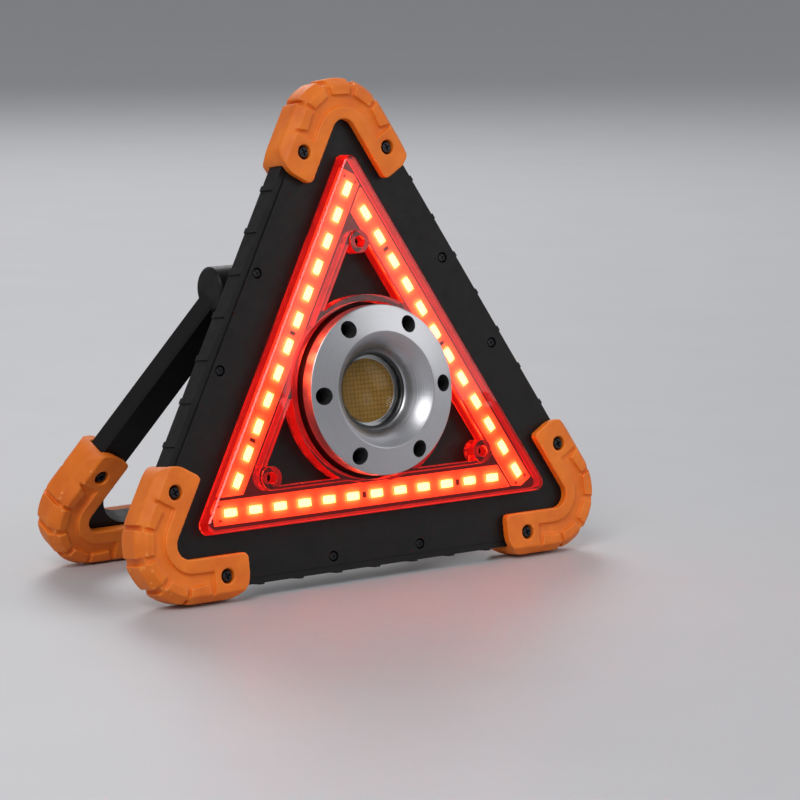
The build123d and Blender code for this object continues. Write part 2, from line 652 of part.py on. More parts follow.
def lens_screws():
    """Three screws that hold the strip cover."""
    one = screw(SMALL_HEAD_R, SMALL_HEAD, COVER_SCREW_R, COVER_SEAT_Z, 0.8)
    return [Pos(x, y) * one for x, y in cover_boss_places()]


# ---- centre lamp --------------------------------------------------------------------------------
def lamp_flange():
    """Turned bezel: a coned face with six holes, a flared bowl and a seat for the optic."""
    rim_low, rim_high = FLANGE_RIM_Z - EDGE_BREAK, FLANGE_RIM_Z
    lip = BOWL_RIM_Z - EDGE_BREAK / 2
    back = Polyline((BOWL_THROAT_R, BOWL_THROAT_Z), (OPTIC_R + FIT, BOWL_THROAT_Z - EDGE_BREAK),
                    (OPTIC_R + FIT, OPTIC_SEAT_Z), (OPTIC_LEDGE_R, OPTIC_SEAT_Z),
                    (OPTIC_LEDGE_R, SPIGOT_END_Z), (SPIGOT_R, SPIGOT_END_Z),
                    (SPIGOT_R, FLANGE_REAR_Z), (FLANGE_R, FLANGE_REAR_Z), (FLANGE_R, rim_low),
                    (FLANGE_R - EDGE_BREAK, rim_high), (BOWL_RIM_R + EDGE_BREAK, lip),
                    (BOWL_RIM_R, BOWL_RIM_Z), (BOWL_RIM_R - EDGE_BREAK, lip))
    middle = ((BOWL_RIM_R + BOWL_THROAT_R) / 2 - 0.9, (lip + BOWL_THROAT_Z) / 2 + 0.4)
    flare = ThreePointArc((BOWL_RIM_R - EDGE_BREAK, lip), middle, (BOWL_THROAT_R, BOWL_THROAT_Z))
    section = Plane.XZ * make_face([back.edges(), flare.edges()])
    shape = revolve(section, Axis.Z)
    for number in range(BEZEL_HOLE_COUNT):
        x, y = polar(BEZEL_HOLE_PLACE, number * 360 / BEZEL_HOLE_COUNT)
        shape -= rod(BEZEL_HOLE_R, FLANGE_REAR_Z, BOWL_RIM_Z, x, y)
    for x, y in lamp_screw_places():
        shape -= rod(LAMP_SCREW_R + PEG_FIT, FLANGE_REAR_Z, LAMP_SCREW_TIP_Z + 0.3, x, y)
    return shape


def optic_lens():
    """Clear lens, flat behind and domed in front."""
    edge_top = OPTIC_SEAT_Z + OPTIC_EDGE
    reach = OPTIC_CLEAR_R / math.sqrt(2)
    dome = OPTIC_RISE * 0.5 + (OPTIC_CLEAR_R ** 2 / (2 * OPTIC_RISE))
    centre_z = edge_top + OPTIC_RISE - dome
    arc_mid = (reach, centre_z + math.sqrt(dome ** 2 - reach ** 2))
    edges = Polyline((0, edge_top + OPTIC_RISE), (0, OPTIC_SEAT_Z), (OPTIC_R, OPTIC_SEAT_Z),
                     (OPTIC_R, edge_top), (OPTIC_CLEAR_R, edge_top))
    curve = ThreePointArc((OPTIC_CLEAR_R, edge_top), arc_mid, (0, edge_top + OPTIC_RISE))
    return revolve(Plane.XZ * make_face([edges.edges(), curve.edges()]), Axis.Z)


def lens_retainer():
    """Ring that holds the optic down."""
    low = OPTIC_SEAT_Z + OPTIC_EDGE
    inner = OPTIC_CLEAR_R + 0.2
    return ring([(inner, low), (OPTIC_R, low), (OPTIC_R, low + RETAINER_HEIGHT),
                 (inner + 0.5, low + RETAINER_HEIGHT), (inner, low + RETAINER_HEIGHT - 0.5)])


def cob_board():
    """Round metal board under the emitter."""
    return rod(BOARD_DISC_R, SPIGOT_END_Z - BOARD_DISC_THICK, SPIGOT_END_Z)


def cob_phosphor():
    """The emitter's yellow disc."""
    return rod(PHOSPHOR_R, SPIGOT_END_Z, SPIGOT_END_Z + PHOSPHOR_THICK)


def heat_sink():
    """Aluminium plate with a pedestal under the emitter and fins behind."""
    shape = rod(SINK_R, SINK_REAR_Z, FRONT_INNER_Z)
    shape += rod(SINK_PEDESTAL_R, FRONT_INNER_Z, SPIGOT_END_Z - BOARD_DISC_THICK)
    field = rod(FIN_FIELD_R, SINK_REAR_Z - FIN_HEIGHT, SINK_REAR_Z)
    for number in range(FIN_COUNT):
        x = (number - (FIN_COUNT - 1) / 2) * FIN_PITCH
        fin = block((x - FIN_THICK / 2, x + FIN_THICK / 2), (-SINK_R, SINK_R),
                    (SINK_REAR_Z - FIN_HEIGHT, SINK_REAR_Z))
        shape += fin & field
    for x, y in lamp_screw_places():
        shape -= rod(LAMP_SCREW_R + FIT, SINK_REAR_Z, FRONT_INNER_Z, x, y)
    return shape


def lamp_screws():
    """Three screws that draw the bezel, collar and heat sink together."""
    one = screw(SMALL_HEAD_R + 0.7, 1.7, LAMP_SCREW_R, SINK_REAR_Z, LAMP_SCREW_TIP_Z)
    return [Pos(x, y) * one for x, y in lamp_screw_places()]


# ---- cells, board, button and socket ------------------------------------------------------------
def battery_cells():
    """Two cylindrical cells, each with its raised button contact."""
    cells = []
    for number, cell in enumerate(cell_shapes(0)):
        side = 1 if number % 2 else -1
        ends = sorted((side * CELL_LENGTH / 2, side * (CELL_LENGTH / 2 - 1.2)))
        collar = cross_rod(CELL_R + 1, *ends, CELL_PLACES[number], CELL_Z)
        nub = cross_rod(CELL_R * 0.35, *ends, CELL_PLACES[number], CELL_Z)
        cells.append(cell - (collar - nub))
    return cells


def battery_contacts():
    """Four spring contacts, one at each end of each cell."""
    wall = POD_HALF - POD_WALL
    half = CONTACT_SIZE / 2
    pieces = []
    for y in CELL_PLACES:
        for side in (-1, 1):
            plate = block(sorted((side * (wall - CONTACT_THICK), side * wall)),
                          (y - half, y + half), (CELL_Z - half, CELL_Z + half))
            ends = sorted((side * (CELL_LENGTH / 2 + FIT), side * (wall - CONTACT_THICK)))
            pieces.append(plate + cross_rod(CELL_R * 0.3, *ends, y, CELL_Z))
    return pieces


def battery_cover():
    """Hatch over the cells, with two bars that keep them in their saddles."""
    seat = POD_BACK_Z + HATCH_THICK
    shape = slab(hatch_plan(FIT + PEG_FIT), POD_BACK_Z, seat)
    bar_top = CELL_Z - CELL_R - 0.3
    for y in CELL_PLACES:
        shape += block((-22, 22), (y - 2, y + 2), (seat - 0.5, bar_top))
    x, y = HATCH_SCREW_PLACE
    return shape - mirrored(rod(HOUSING_SCREW_R + FIT, POD_BACK_Z, seat, x, y))


def battery_cover_screws():
    """Two screws in the hatch's tab."""
    x, y = HATCH_SCREW_PLACE
    one = screw(SMALL_HEAD_R, SMALL_HEAD, HOUSING_SCREW_R, POD_BACK_Z, BOARD_Z - 2)
    return [Pos(side * x, y) * one for side in (-1, 1)]


def control_board():
    """Board with a neck that reaches up to the charging socket."""
    top = POD_TOP - POD_WALL - 0.6
    wide = Pos(0, (BOARD_LOW_Y + BOARD_NECK_Y) / 2)
    face = wide * Rectangle(2 * BOARD_HALF, BOARD_NECK_Y - BOARD_LOW_Y)
    face += Pos(0, (BOARD_LOW_Y + top) / 2) * Rectangle(2 * BOARD_NECK_HALF, top - BOARD_LOW_Y)
    shape = slab(face, BOARD_Z, BOARD_Z + BOARD_THICK)
    for x, y in BOARD_POSTS:
        shape -= mirrored(rod(SMALL_HEAD_R - 0.5, BOARD_Z, BOARD_Z + BOARD_THICK, x, y))
    return shape


def board_screws():
    """Four screws that hold the board on its posts."""
    top = BOARD_Z + BOARD_THICK
    one = screw(SMALL_HEAD_R + 0.2, SMALL_HEAD, SMALL_HEAD_R - 0.7, top, BOARD_Z - 5)
    return [Pos(side * x, y) * one for x, y in BOARD_POSTS for side in (-1, 1)]


def board_components():
    """Driver chip, inductor, capacitors and cell connector on the board's front."""
    top = BOARD_Z + BOARD_THICK
    chip = Pos(-3, 18, top + 0.8) * Box(5, 6, 1.6)
    coil = rod(3.4, top, top + 3.2, 5.5, 19)
    capacitors = [rod(2.0, top, top + 4.5, x, 26.5) for x in (-4.5, 0.0, 4.5)]
    connector = Pos(0, BOARD_LOW_Y + 4.5, top + 2.2) * Box(8, 5, 4.4)
    return [chip, coil, *capacitors, connector]


def tact_switch():
    """Push switch on the board, right under the button."""
    low = BOARD_Z - SWITCH_HEIGHT
    shape = Pos(0, BUTTON_Y, low + SWITCH_HEIGHT / 2) * Box(SWITCH_SIDE, SWITCH_SIDE, SWITCH_HEIGHT)
    stem_end = POD_FLOOR_Z + BUTTON_SLACK + BUTTON_FLANGE + BUTTON_STEM
    return shape + rod(SWITCH_PLUNGER_R, stem_end + BUTTON_TRAVEL + FIT, low, 0, BUTTON_Y)


def power_button():
    """Round button held in the pod's back wall by its flange."""
    flange_low = POD_FLOOR_Z + BUTTON_SLACK
    cap = rod(BUTTON_R, POD_BACK_Z - BUTTON_PROUD, flange_low, 0, BUTTON_Y)
    cap = fillet(cap.faces().sort_by(Axis.Z)[0].edges(), 0.8)
    flange = rod(BUTTON_FLANGE_R, flange_low, flange_low + BUTTON_FLANGE, 0, BUTTON_Y)
    stem_low = flange_low + BUTTON_FLANGE
    return cap + flange + rod(BUTTON_STEM_R, stem_low, stem_low + BUTTON_STEM, 0, BUTTON_Y)


def charge_socket():
    """Flat charging socket with its tongue, mouth towards the pod's top."""
    width, depth, height = SOCKET_SIZE
    mouth = POD_TOP - SOCKET_INSET
    middle_z = BOARD_Z + BOARD_THICK + height / 2
    shell = Pos(0, mouth - depth / 2, middle_z) * Box(width, depth, height)
    inner = Box(width - 2 * SOCKET_WALL, depth, height - 2 * SOCKET_WALL)
    tongue = Box(width * 0.7, depth - 1.2, 0.7)
    shape = shell - Pos(0, mouth - depth / 2 + 0.8, middle_z) * inner
    return shape + Pos(0, mouth - depth / 2 - 0.3, middle_z) * tongue


def port_flap():
    """Rubber flap over the socket, with a bar that turns in two ears and a plug for the port."""
    low_y = POD_TOP + FIT
    port_z = BOARD_Z + BOARD_THICK + SOCKET_SIZE[2] / 2
    free_z = FLAP_BAR_Z - FLAP_LENGTH
    shape = block((-FLAP_HALF, FLAP_HALF), (low_y, low_y + FLAP_THICK), (free_z, FLAP_BAR_Z))
    shape += block((-FLAP_HALF, FLAP_HALF), (low_y + FLAP_THICK, low_y + FLAP_THICK + 0.6),
                   (free_z, free_z + 0.9))
    reach = FLAP_HALF + FLAP_EAR_GAP + FLAP_EAR
    shape += cross_rod(FLAP_BAR_R, -reach, reach, low_y + FLAP_BAR_R, FLAP_BAR_Z)
    return shape + Pos(0, low_y - FLAP_PLUG[1] / 2 + 0.2, port_z) * Box(*FLAP_PLUG)


# ---- hinge and stand ----------------------------------------------------------------------------
def hinge_pin(side):
    """Pin pressed through the pod's lug, with its head inside the pod."""
    head_inner = POD_TOP_HALF - PIN_LUG_LENGTH - HINGE_PIN_HEAD
    head_outer = POD_TOP_HALF - PIN_LUG_LENGTH
    tip = POD_TOP_HALF + HINGE_GAP + HINGE_PIN_REACH
    head = cross_rod(HINGE_PIN_HEAD_R, head_inner, head_outer, HINGE_Y, HINGE_Z)
    pin = head + cross_rod(HINGE_PIN_R, head_outer, tip, HINGE_Y, HINGE_Z)
    return pin if side > 0 else mirror(pin, about=Plane.YZ)


def hinge_washer(side):
    """Friction washer between the pod and a knuckle."""
    inner = POD_TOP_HALF + (HINGE_GAP - WASHER_THICK) / 3
    disc = cross_rod(WASHER_R, inner, inner + WASHER_THICK, HINGE_Y, HINGE_Z)
    hole = cross_rod(HINGE_PIN_R + PEG_FIT, inner - 1, inner + 1, HINGE_Y, HINGE_Z)
    washer = disc - hole
    return washer if side > 0 else mirror(washer, about=Plane.YZ)


def stand_frame():
    """The folding frame, drawn folded: two legs and a bar, with a knuckle on each leg."""
    inradius = BODY_INRADIUS - STAND_SHRINK
    centre = Pos(0, -STAND_SHRINK - STAND_DROP, 0)
    outer_corner = BODY_INRADIUS - CORNER_CENTRE / 2
    outer = slab(triangle(inradius, outer_corner), -HALF_EDGE, HALF_EDGE)
    outer = chamfer(outer.edges().filter_by(Plane.XY), LEG_EDGE_BREAK)
    inner = slab(triangle(inradius - LEG_WIDTH, LEG_CORNER_R), -HALF_EDGE, HALF_EDGE)
    frame = Pos(0, 0, HINGE_Z) * centre * (outer - inner)
    reach = 4 * BODY_INRADIUS
    frame &= block((-reach, reach), (-reach, HINGE_Y), (-reach, reach))
    inner_x = KNUCKLE_OUTER_X - KNUCKLE_LENGTH
    knuckle = cross_rod(KNUCKLE_R, inner_x, KNUCKLE_OUTER_X, HINGE_Y, HINGE_Z)
    knuckle = chamfer(knuckle.edges().filter_by(GeomType.CIRCLE), 0.8)
    frame += mirrored(knuckle)
    bore = cross_rod(HINGE_PIN_R + PEG_FIT, inner_x - 1, inner_x + HINGE_PIN_REACH + 0.5,
                     HINGE_Y, HINGE_Z)
    frame -= mirrored(bore)
    pair = Part() + [rod(BUMPER_SCREW_R + FIT, REAR_Z - 1, FRONT_Z + 1, x, y)
                     for x, y in corner_screw_places()]
    return frame - [on_stand(pair, side) for side in ("left", "right")]


def on_stand(shape, side):
    """A corner piece moved to one lower corner of the folded stand."""
    inboard = STAND_INSET if side == "left" else -STAND_INSET
    return Pos(inboard, -STAND_DROP, HINGE_Z) * turned(shape, CORNER_TURNS[side])


def swung_out(shape):
    """A piece of the folded stand, turned about the hinge to the rest pose."""
    return Pos(0, HINGE_Y, HINGE_Z) * Rot(OPENING, 0, 0) * Pos(0, -HINGE_Y, -HINGE_Z) * shape


# ---- all pieces by name -------------------------------------------------------------------------
def panel_pieces():
    """Everything on the panel, in the panel frame."""
    bumper = corner_bumper()
    pieces = {
        "front_housing": front_housing(),
        "rear_housing": rear_housing(),
        "rear_pod": rear_pod(),
        "pod_screws": pod_screws(),
        "housing_screws": housing_screws(),
        "lens_cover": lens_cover(),
        "lens_screws": lens_screws(),
        "strip_resistors": strip_resistors(),
        "lamp_flange": lamp_flange(),
        "optic_lens": optic_lens(),
        "lens_retainer": lens_retainer(),
        "cob_board": cob_board(),
        "cob_phosphor": cob_phosphor(),
        "heat_sink": heat_sink(),
        "lamp_screws": lamp_screws(),
        "battery_cells": battery_cells(),
        "battery_contacts": battery_contacts(),
        "battery_cover": battery_cover(),
        "battery_cover_screws": battery_cover_screws(),
        "control_board": control_board(),
        "board_screws": board_screws(),
        "board_components": board_components(),
        "tact_switch": tact_switch(),
        "power_button": power_button(),
        "charge_socket": charge_socket(),
        "port_flap": port_flap(),
        "hinge_pin_left": hinge_pin(-1),
        "hinge_pin_right": hinge_pin(1),
        "hinge_washer_left": hinge_washer(-1),
        "hinge_washer_right": hinge_washer(1),
    }
    for edge, turn in EDGE_TURNS.items():
        pieces[f"led_strip_{edge}"] = turned(strip_board(), turn)
        pieces[f"strip_leds_{edge}"] = [turned(chip, turn) for chip in strip_chips()]
    for corner, turn in CORNER_TURNS.items():
        pieces[f"bumper_{corner}"] = turned(bumper, turn)
    pieces["bumper_screws"] = [turned(one, turn) for turn in CORNER_TURNS.values()
                               for one in corner_screws()]
    return pieces


def stand_pieces():
    """Everything on the stand, swung out to its rest pose."""
    bumper = corner_bumper()
    pieces = {"stand_frame": swung_out(stand_frame())}
    for side in ("left", "right"):
        pieces[f"stand_bumper_{side}"] = swung_out(on_stand(bumper, side))
    pieces["stand_bumper_screws"] = [swung_out(on_stand(one, side)) for side in ("left", "right")
                                     for one in corner_screws()]
    return pieces


def as_one(piece):
    """A single shape from a piece that may be a list of separate solids."""
    if isinstance(piece, list):
        return Compound([solid for shape in piece for solid in shape.solids()])
    solids = piece.solids()
    return solids[0] if len(solids) == 1 else Compound(list(solids))


STANDING = Pos(0, 0, PANEL_FLOOR) * Rot(90 - LEAN, 0, 0)
standing = {name: STANDING * as_one(piece)
            for name, piece in {**panel_pieces(), **stand_pieces()}.items()}
boxes = [piece.bounding_box() for piece in standing.values()]
DEPTH_SHIFT = -(min(box.min.Y for box in boxes) + max(box.max.Y for box in boxes)) / 2
PLACE = Pos(0, DEPTH_SHIFT, 0) * STANDING

for name, piece in standing.items():
    export_step(Pos(0, DEPTH_SHIFT, 0) * piece, f"parts/{name}.step")
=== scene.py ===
"""Looks of the folding warning triangle with a work lamp in its centre.

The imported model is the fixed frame.  Every place below is worked out from its pieces' boxes, its
mounts and its joints, in metres.  The panel frame has x to the right, y up the panel and z out of
the front, with the lamp's axis as origin.
"""
import json
import math

import bmesh
import bpy
from mathutils import Matrix, Vector


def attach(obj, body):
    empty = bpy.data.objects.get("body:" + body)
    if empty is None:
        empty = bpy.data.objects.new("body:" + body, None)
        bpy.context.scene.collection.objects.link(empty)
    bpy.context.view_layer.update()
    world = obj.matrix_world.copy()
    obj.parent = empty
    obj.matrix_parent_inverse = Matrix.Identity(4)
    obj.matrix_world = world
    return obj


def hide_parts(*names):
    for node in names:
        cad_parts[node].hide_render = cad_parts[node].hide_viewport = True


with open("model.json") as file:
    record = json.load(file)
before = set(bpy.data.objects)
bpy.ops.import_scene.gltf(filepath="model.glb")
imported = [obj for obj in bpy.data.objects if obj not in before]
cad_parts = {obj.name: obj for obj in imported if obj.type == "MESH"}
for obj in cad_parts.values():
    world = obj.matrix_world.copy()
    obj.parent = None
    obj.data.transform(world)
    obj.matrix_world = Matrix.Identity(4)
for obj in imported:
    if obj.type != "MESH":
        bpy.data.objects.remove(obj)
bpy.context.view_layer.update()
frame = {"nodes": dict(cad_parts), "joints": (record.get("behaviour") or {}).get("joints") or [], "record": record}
MM = 0.001
NODES = frame["nodes"]
RECORD = frame["record"]
BODY_OF = {node: body for body, nodes in RECORD["behaviour"]["bodies"].items() for node in nodes}

# ---- the panel's and the stand's own frames -----------------------------------------------------
MOUNT_HEIGHT = 13.0 * MM       # the bezel's mount is stated this far in front of the parting plane
BEZEL = next(mount for mount in RECORD["mounts"] if mount["name"] == "bezel_holes")
HINGE = next(joint for joint in frame["joints"] if joint["name"] == "stand_hinge")
FRONT = Vector(BEZEL["axis"]).normalized()
RIGHT = Vector((1.0, 0.0, 0.0))
UP = FRONT.cross(RIGHT)
CENTRE = Vector(BEZEL["pos_m"]) - FRONT * MOUNT_HEIGHT
PANEL = Matrix.Translation(CENTRE) @ Matrix((RIGHT, UP, FRONT)).transposed().to_4x4()
OPENING = math.radians(-HINGE["range_deg"][0])
HINGE_PLACE = Matrix.Translation(HINGE["pos_m"])
STAND = HINGE_PLACE @ Matrix.Rotation(OPENING, 4, "X") @ HINGE_PLACE.inverted() @ PANEL
BACK = PANEL @ Matrix.Rotation(math.pi, 4, "Y")
EDGE_TURNS = {"bottom": 0.0, "right": math.radians(120), "left": math.radians(240)}

# ---- sizes of what is made here -----------------------------------------------------------------
MERGE_DISTANCE = 0.001 * MM
FLAT_ANGLE = math.radians(0.4)
SHARP_ANGLE = math.radians(38)
ROUND_ANGLE = math.radians(80)                   # for small domed pieces
BEVEL_ANGLE = math.radians(32)
EDGE_WIDTHS = {"front_housing": 0.28, "rear_housing": 0.28, "rear_pod": 0.35,
               "battery_cover": 0.2, "stand_frame": 0.45, "lamp_flange": 0.16,
               "lens_cover": 0.18, "port_flap": 0.3, "lens_retainer": 0.12,
               "charge_socket": 0.08}            # in millimetres
RUBBER_VOXEL = 0.36 * MM
RUBBER_SMOOTHING = 5
WINDOW_SIZE = (4.8 * MM, 2.4 * MM, 0.5 * MM)
WELL_DEPTH = 0.34 * MM
WELL_CLEARANCE = 0.3 * MM                        # the well is this much wider than its window
HEAD_HEIGHTS = {"bumper_screws": 1.8 * MM, "stand_bumper_screws": 1.8 * MM,
                "housing_screws": 1.0 * MM, "lens_screws": 1.2 * MM,
                "battery_cover_screws": 1.2 * MM}
# painted glow on the strips' boards, standing in for the chips' light falling on them
HALO_INNER = 1.2 * MM          # the painted glow on a board falls off from here
HALO_OUTER = 4.6 * MM
PAINTED_BOARD_GLOW = 0.95
PAINTED_HALO_GLOW = 5.0
HALO_STRETCH = 0.66            # under 1, the painted halo is longer than it is wide
SOLDER_SIZE = (0.75 * MM, 0.55 * MM, 0.3 * MM)
SOLDER_INSET = 2.2 * MM        # from the strip's head
SOLDER_OFFSET = 2.4 * MM       # from the strip's middle line
SCREW_TURN = math.radians(20)
SHANK_SHARE = 0.58             # shank radius over head radius
SKIRT_SHARE = 0.45             # a head's straight part over its height
CROWN_SHARE = 0.55             # a head's tapered part over its height
CROWN_TAPER = 0.72             # the crown's top radius over its foot's
SLOT_LENGTH = 1.15             # the cross recess over the head's radius
SLOT_WIDTH = 0.26
SLOT_FLOOR = 0.5               # the recess's floor over the head's height
HATCH_RIB_COUNT = 9
HATCH_RIB_PLACE = 0.40         # the ribs' middle, up from the hatch's foot
HATCH_RIB = (22.0 * MM, 0.55 * MM, 2.2 * MM)     # length, radius, pitch

# ---- camera and light ---------------------------------------------------------------------------
VIEW_AZIMUTH = -35.54
VIEW_ELEVATION = 9.26
VIEW_DISTANCE = 1.126
VIEW_LENS = 146.57
VIEW_AIM = Vector((9.0, -7.1, -3.3)) * MM        # from the lamp's centre to what is looked at
LAMP_FACE = 6.5 * MM
FLOOR_HALF = 5.0
FLOOR_MOTTLE = 60 * MM
FLOOR_TONES = (0.50, 0.50, 0.515), (0.54, 0.54, 0.555)
SKY_COLOUR = (0.60, 0.61, 0.64, 1.0)
SKY_STRENGTH = 0.55
LAMPS = {"key": ((-1.3, -1.1, 1.6), 1.1, 24.0),  # place, width and power
         "fill": ((1.5, -1.3, 0.9), 1.4, 9.0),
         "rim": ((0.7, 1.5, 1.3), 0.9, 15.0)}

# ---- tones of the finishes ----------------------------------------------------------------------
RUBBER_TONES = (0.74, 0.145, 0.006), (0.90, 0.215, 0.012)
RUBBER_WORN = (1.0, 0.42, 0.12, 1.0)
TURNED_TONES = (0.42, 0.42, 0.44), (0.56, 0.56, 0.58)
TURNED_RING = 0.22 * MM        # spacing of the lathe's marks
COVER_RED = (0.95, 0.075, 0.03, 1.0)
# painted glow of the cover, strongest on its walls, standing in for the strips' light in it
COVER_PAINTED_GLOW = (1.0, 0.012, 0.010, 1.0)
WALL_PAINTED_GLOW = 0.26               # added to the painted glow of a wall square to the panel
FACE_PAINTED_GLOW = 0.035              # the painted glow of a face flat with the panel
BOARD_WHITE = (0.85, 0.84, 0.80, 1.0)
# the tones of the boards' painted glow
PAINTED_GLOW_TONES = (1.0, 0.66, 0.36), (1.0, 0.86, 0.40)
OPTIC_TONE = (0.97, 0.98, 0.96, 1.0)
OPTIC_IOR = 1.06               # kept low so that the disc behind shows whole
GEL_TONES = (0.42, 0.215, 0.016), (0.15, 0.075, 0.008)
GEL_MOTTLE = 0.5
GEL_GRID = 0.75
DIE_PITCH = 1.5 * MM
TRACE_PITCH = 2.4 * MM


# ---- nodes, for materials and geometry alike ----------------------------------------------------
def add(tree, kind, inputs=None, **settings):
    """A new node with its settings made and its inputs linked or given a value."""
    node = tree.nodes.new(kind)
    for name, value in settings.items():
        setattr(node, name, value)
    for name, value in (inputs or {}).items():
        if isinstance(value, bpy.types.NodeSocket):
            tree.links.new(value, node.inputs[name])
        else:
            node.inputs[name].default_value = value
    return node


def maths(tree, operation, first, second=0.0, third=0.0):
    """The result of a sum on numbers; only some operations use the third."""
    inputs = {0: first, 1: second, 2: third}
    return add(tree, "ShaderNodeMath", inputs, operation=operation).outputs[0]


def vector(tree, x=0.0, y=0.0, z=0.0):
    """Three numbers as a vector."""
    return add(tree, "ShaderNodeCombineXYZ", {"X": x, "Y": y, "Z": z}).outputs["Vector"]


# ---- finishes -----------------------------------------------------------------------------------
def new_finish(name, **sockets):
    """A material with a principled shader, whose plain numbers are set on its own sockets."""
    material = bpy.data.materials.new(name)
    material.use_nodes = True
    shader = material.node_tree.nodes["Principled BSDF"]
    for socket, value in sockets.items():
        shader.inputs[socket.replace("_", " ")].default_value = value
    return material, material.node_tree, shader


def places(tree, own_frame=None):
    """Object coordinates, or the same turned into the given frame."""
    here = add(tree, "ShaderNodeTexCoord").outputs["Object"]
    if own_frame is None:
        return here
    inputs = {"Vector": here, "Location": own_frame.translation, "Rotation": own_frame.to_euler()}
    return add(tree, "ShaderNodeMapping", inputs, vector_type="TEXTURE").outputs["Vector"]


def noise(tree, where, size, detail=3.0, roughness=0.55):
    """Soft noise with features of about the given size."""
    return add(tree, "ShaderNodeTexNoise", {"Vector": where, "Scale": 1 / size, "Detail": detail,
                                            "Roughness": roughness}).outputs["Fac"]


def spread(tree, value, low, high, start=0.3, end=0.7):
    """A value between two limits that follows a noise."""
    return add(tree, "ShaderNodeMapRange", {"Value": value, "From Min": start, "From Max": end,
                                            "To Min": low, "To Max": high}).outputs["Result"]


def blend_colours(tree, amount, first, second):
    """A mix of two colours."""
    ramp = add(tree, "ShaderNodeValToRGB", {"Fac": amount})
    ramp.color_ramp.elements[0].color = (*first, 1.0)
    ramp.color_ramp.elements[1].color = (*second, 1.0)
    return ramp.outputs["Color"]


def bumped(tree, shader, height, depth):
    """Raises the surface by a height pattern of the given depth."""
    bump = add(tree, "ShaderNodeBump", {"Height": height, "Distance": depth, "Strength": 1.0})
    tree.links.new(bump.outputs["Normal"], shader.inputs["Normal"])


def moulded(name, dark, light, roughness, grain, depth, mottle=9 * MM, **sockets):
    """Moulded plastic or rubber: mottled colour, uneven gloss and a fine tool grain."""
    material, tree, shader = new_finish(name, **sockets)
    where = places(tree)
    cloud = noise(tree, where, mottle)
    fine = noise(tree, where, grain, detail=2.0)
    colour = blend_colours(tree, spread(tree, cloud, 0.0, 1.0), dark, light)
    tree.links.new(colour, shader.inputs["Base Color"])
    gloss = spread(tree, noise(tree, where, mottle * 0.4), roughness - 0.07, roughness + 0.07)
    tree.links.new(gloss, shader.inputs["Roughness"])
    bumped(tree, shader, fine, depth)
    return material


def orange_rubber():
    """Satin orange rubber, paler and duller along its worn edges, with a few rubbed patches."""
    material, tree, shader = new_finish("orange_rubber", Specular_IOR_Level=0.4)
    where = places(tree)
    body = blend_colours(tree, spread(tree, noise(tree, where, 11 * MM), 0.0, 1.0),
                         *RUBBER_TONES)
    edge = add(tree, "ShaderNodeNewGeometry").outputs["Pointiness"]
    worn = spread(tree, edge, 0.0, 1.0, start=0.515, end=0.60)
    patchy = maths(tree, "MULTIPLY", worn, noise(tree, where, 2.2 * MM, detail=5.0))
    colour = add(tree, "ShaderNodeMix", {"Factor": patchy}, data_type="RGBA")
    tree.links.new(body, colour.inputs[6])
    colour.inputs[7].default_value = RUBBER_WORN
    tree.links.new(colour.outputs[2], shader.inputs["Base Color"])
    gloss = spread(tree, noise(tree, where, 3 * MM), 0.46, 0.62)
    tree.links.new(maths(tree, "ADD", gloss, maths(tree, "MULTIPLY", patchy, 0.2)),
                   shader.inputs["Roughness"])
    bumped(tree, shader, noise(tree, where, 0.7 * MM, detail=3.0), 0.03 * MM)
    return material


def turned_metal():
    """Aluminium off the lathe: fine uneven rings round the lamp's axis."""
    material, tree, shader = new_finish("aluminium", Metallic=1.0, Roughness=0.3)
    flat_place = add(tree, "ShaderNodeVectorMath", {0: places(tree, PANEL), 1: (1.0, 1.0, 0.0)},
                     operation="MULTIPLY").outputs["Vector"]
    radius = add(tree, "ShaderNodeVectorMath", {0: flat_place}, operation="LENGTH").outputs["Value"]
    rings = add(tree, "ShaderNodeTexNoise", {"W": radius, "Scale": 1 / TURNED_RING, "Detail": 2.0},
                noise_dimensions="1D").outputs["Fac"]
    colour = blend_colours(tree, spread(tree, rings, 0.0, 1.0), *TURNED_TONES)
    tree.links.new(colour, shader.inputs["Base Color"])
    tree.links.new(spread(tree, rings, 0.30, 0.44), shader.inputs["Roughness"])
    bumped(tree, shader, rings, 0.006 * MM)
    return material


def plain_metal(name, colour, roughness, grain=1.2 * MM):
    """Pressed, drawn or blackened metal with an uneven sheen."""
    material, tree, shader = new_finish(name, Metallic=1.0)
    where = places(tree)
    shade = noise(tree, where, grain, detail=4.0)
    lighter = tuple(min(1.0, part * 1.35) for part in colour)
    tree.links.new(blend_colours(tree, shade, colour, lighter), shader.inputs["Base Color"])
    sheen = spread(tree, shade, roughness - 0.08, roughness + 0.1)
    tree.links.new(sheen, shader.inputs["Roughness"])
    bumped(tree, shader, shade, 0.01 * MM)
    return material


def red_cover():
    """Clear deep-red plastic with a painted glow, strongest on its upright walls and edges, standing in for the
    strips' light.
    """
    material, tree, shader = new_finish("red_lens", Base_Color=COVER_RED,
                                        Transmission_Weight=1.0, IOR=1.45, Roughness=0.03,
                                        Emission_Color=COVER_PAINTED_GLOW)
    facing = add(tree, "ShaderNodeTexCoord").outputs["Normal"]
    level = add(tree, "ShaderNodeVectorMath", {0: facing, 1: FRONT},
                operation="DOT_PRODUCT").outputs["Value"]
    wall = maths(tree, "SUBTRACT", 1.0, maths(tree, "ABSOLUTE", level))
    cloud = spread(tree, noise(tree, places(tree), 5 * MM), 0.75, 1.25)
    # painted glow: the cover gives light of its own, most where its walls stand square to the panel
    glow = maths(tree, "MULTIPLY_ADD", wall, WALL_PAINTED_GLOW, FACE_PAINTED_GLOW)
    tree.links.new(maths(tree, "MULTIPLY", glow, cloud), shader.inputs["Emission Strength"])
    bumped(tree, shader, noise(tree, places(tree), 7 * MM, detail=1.0), 0.03 * MM)
    return material


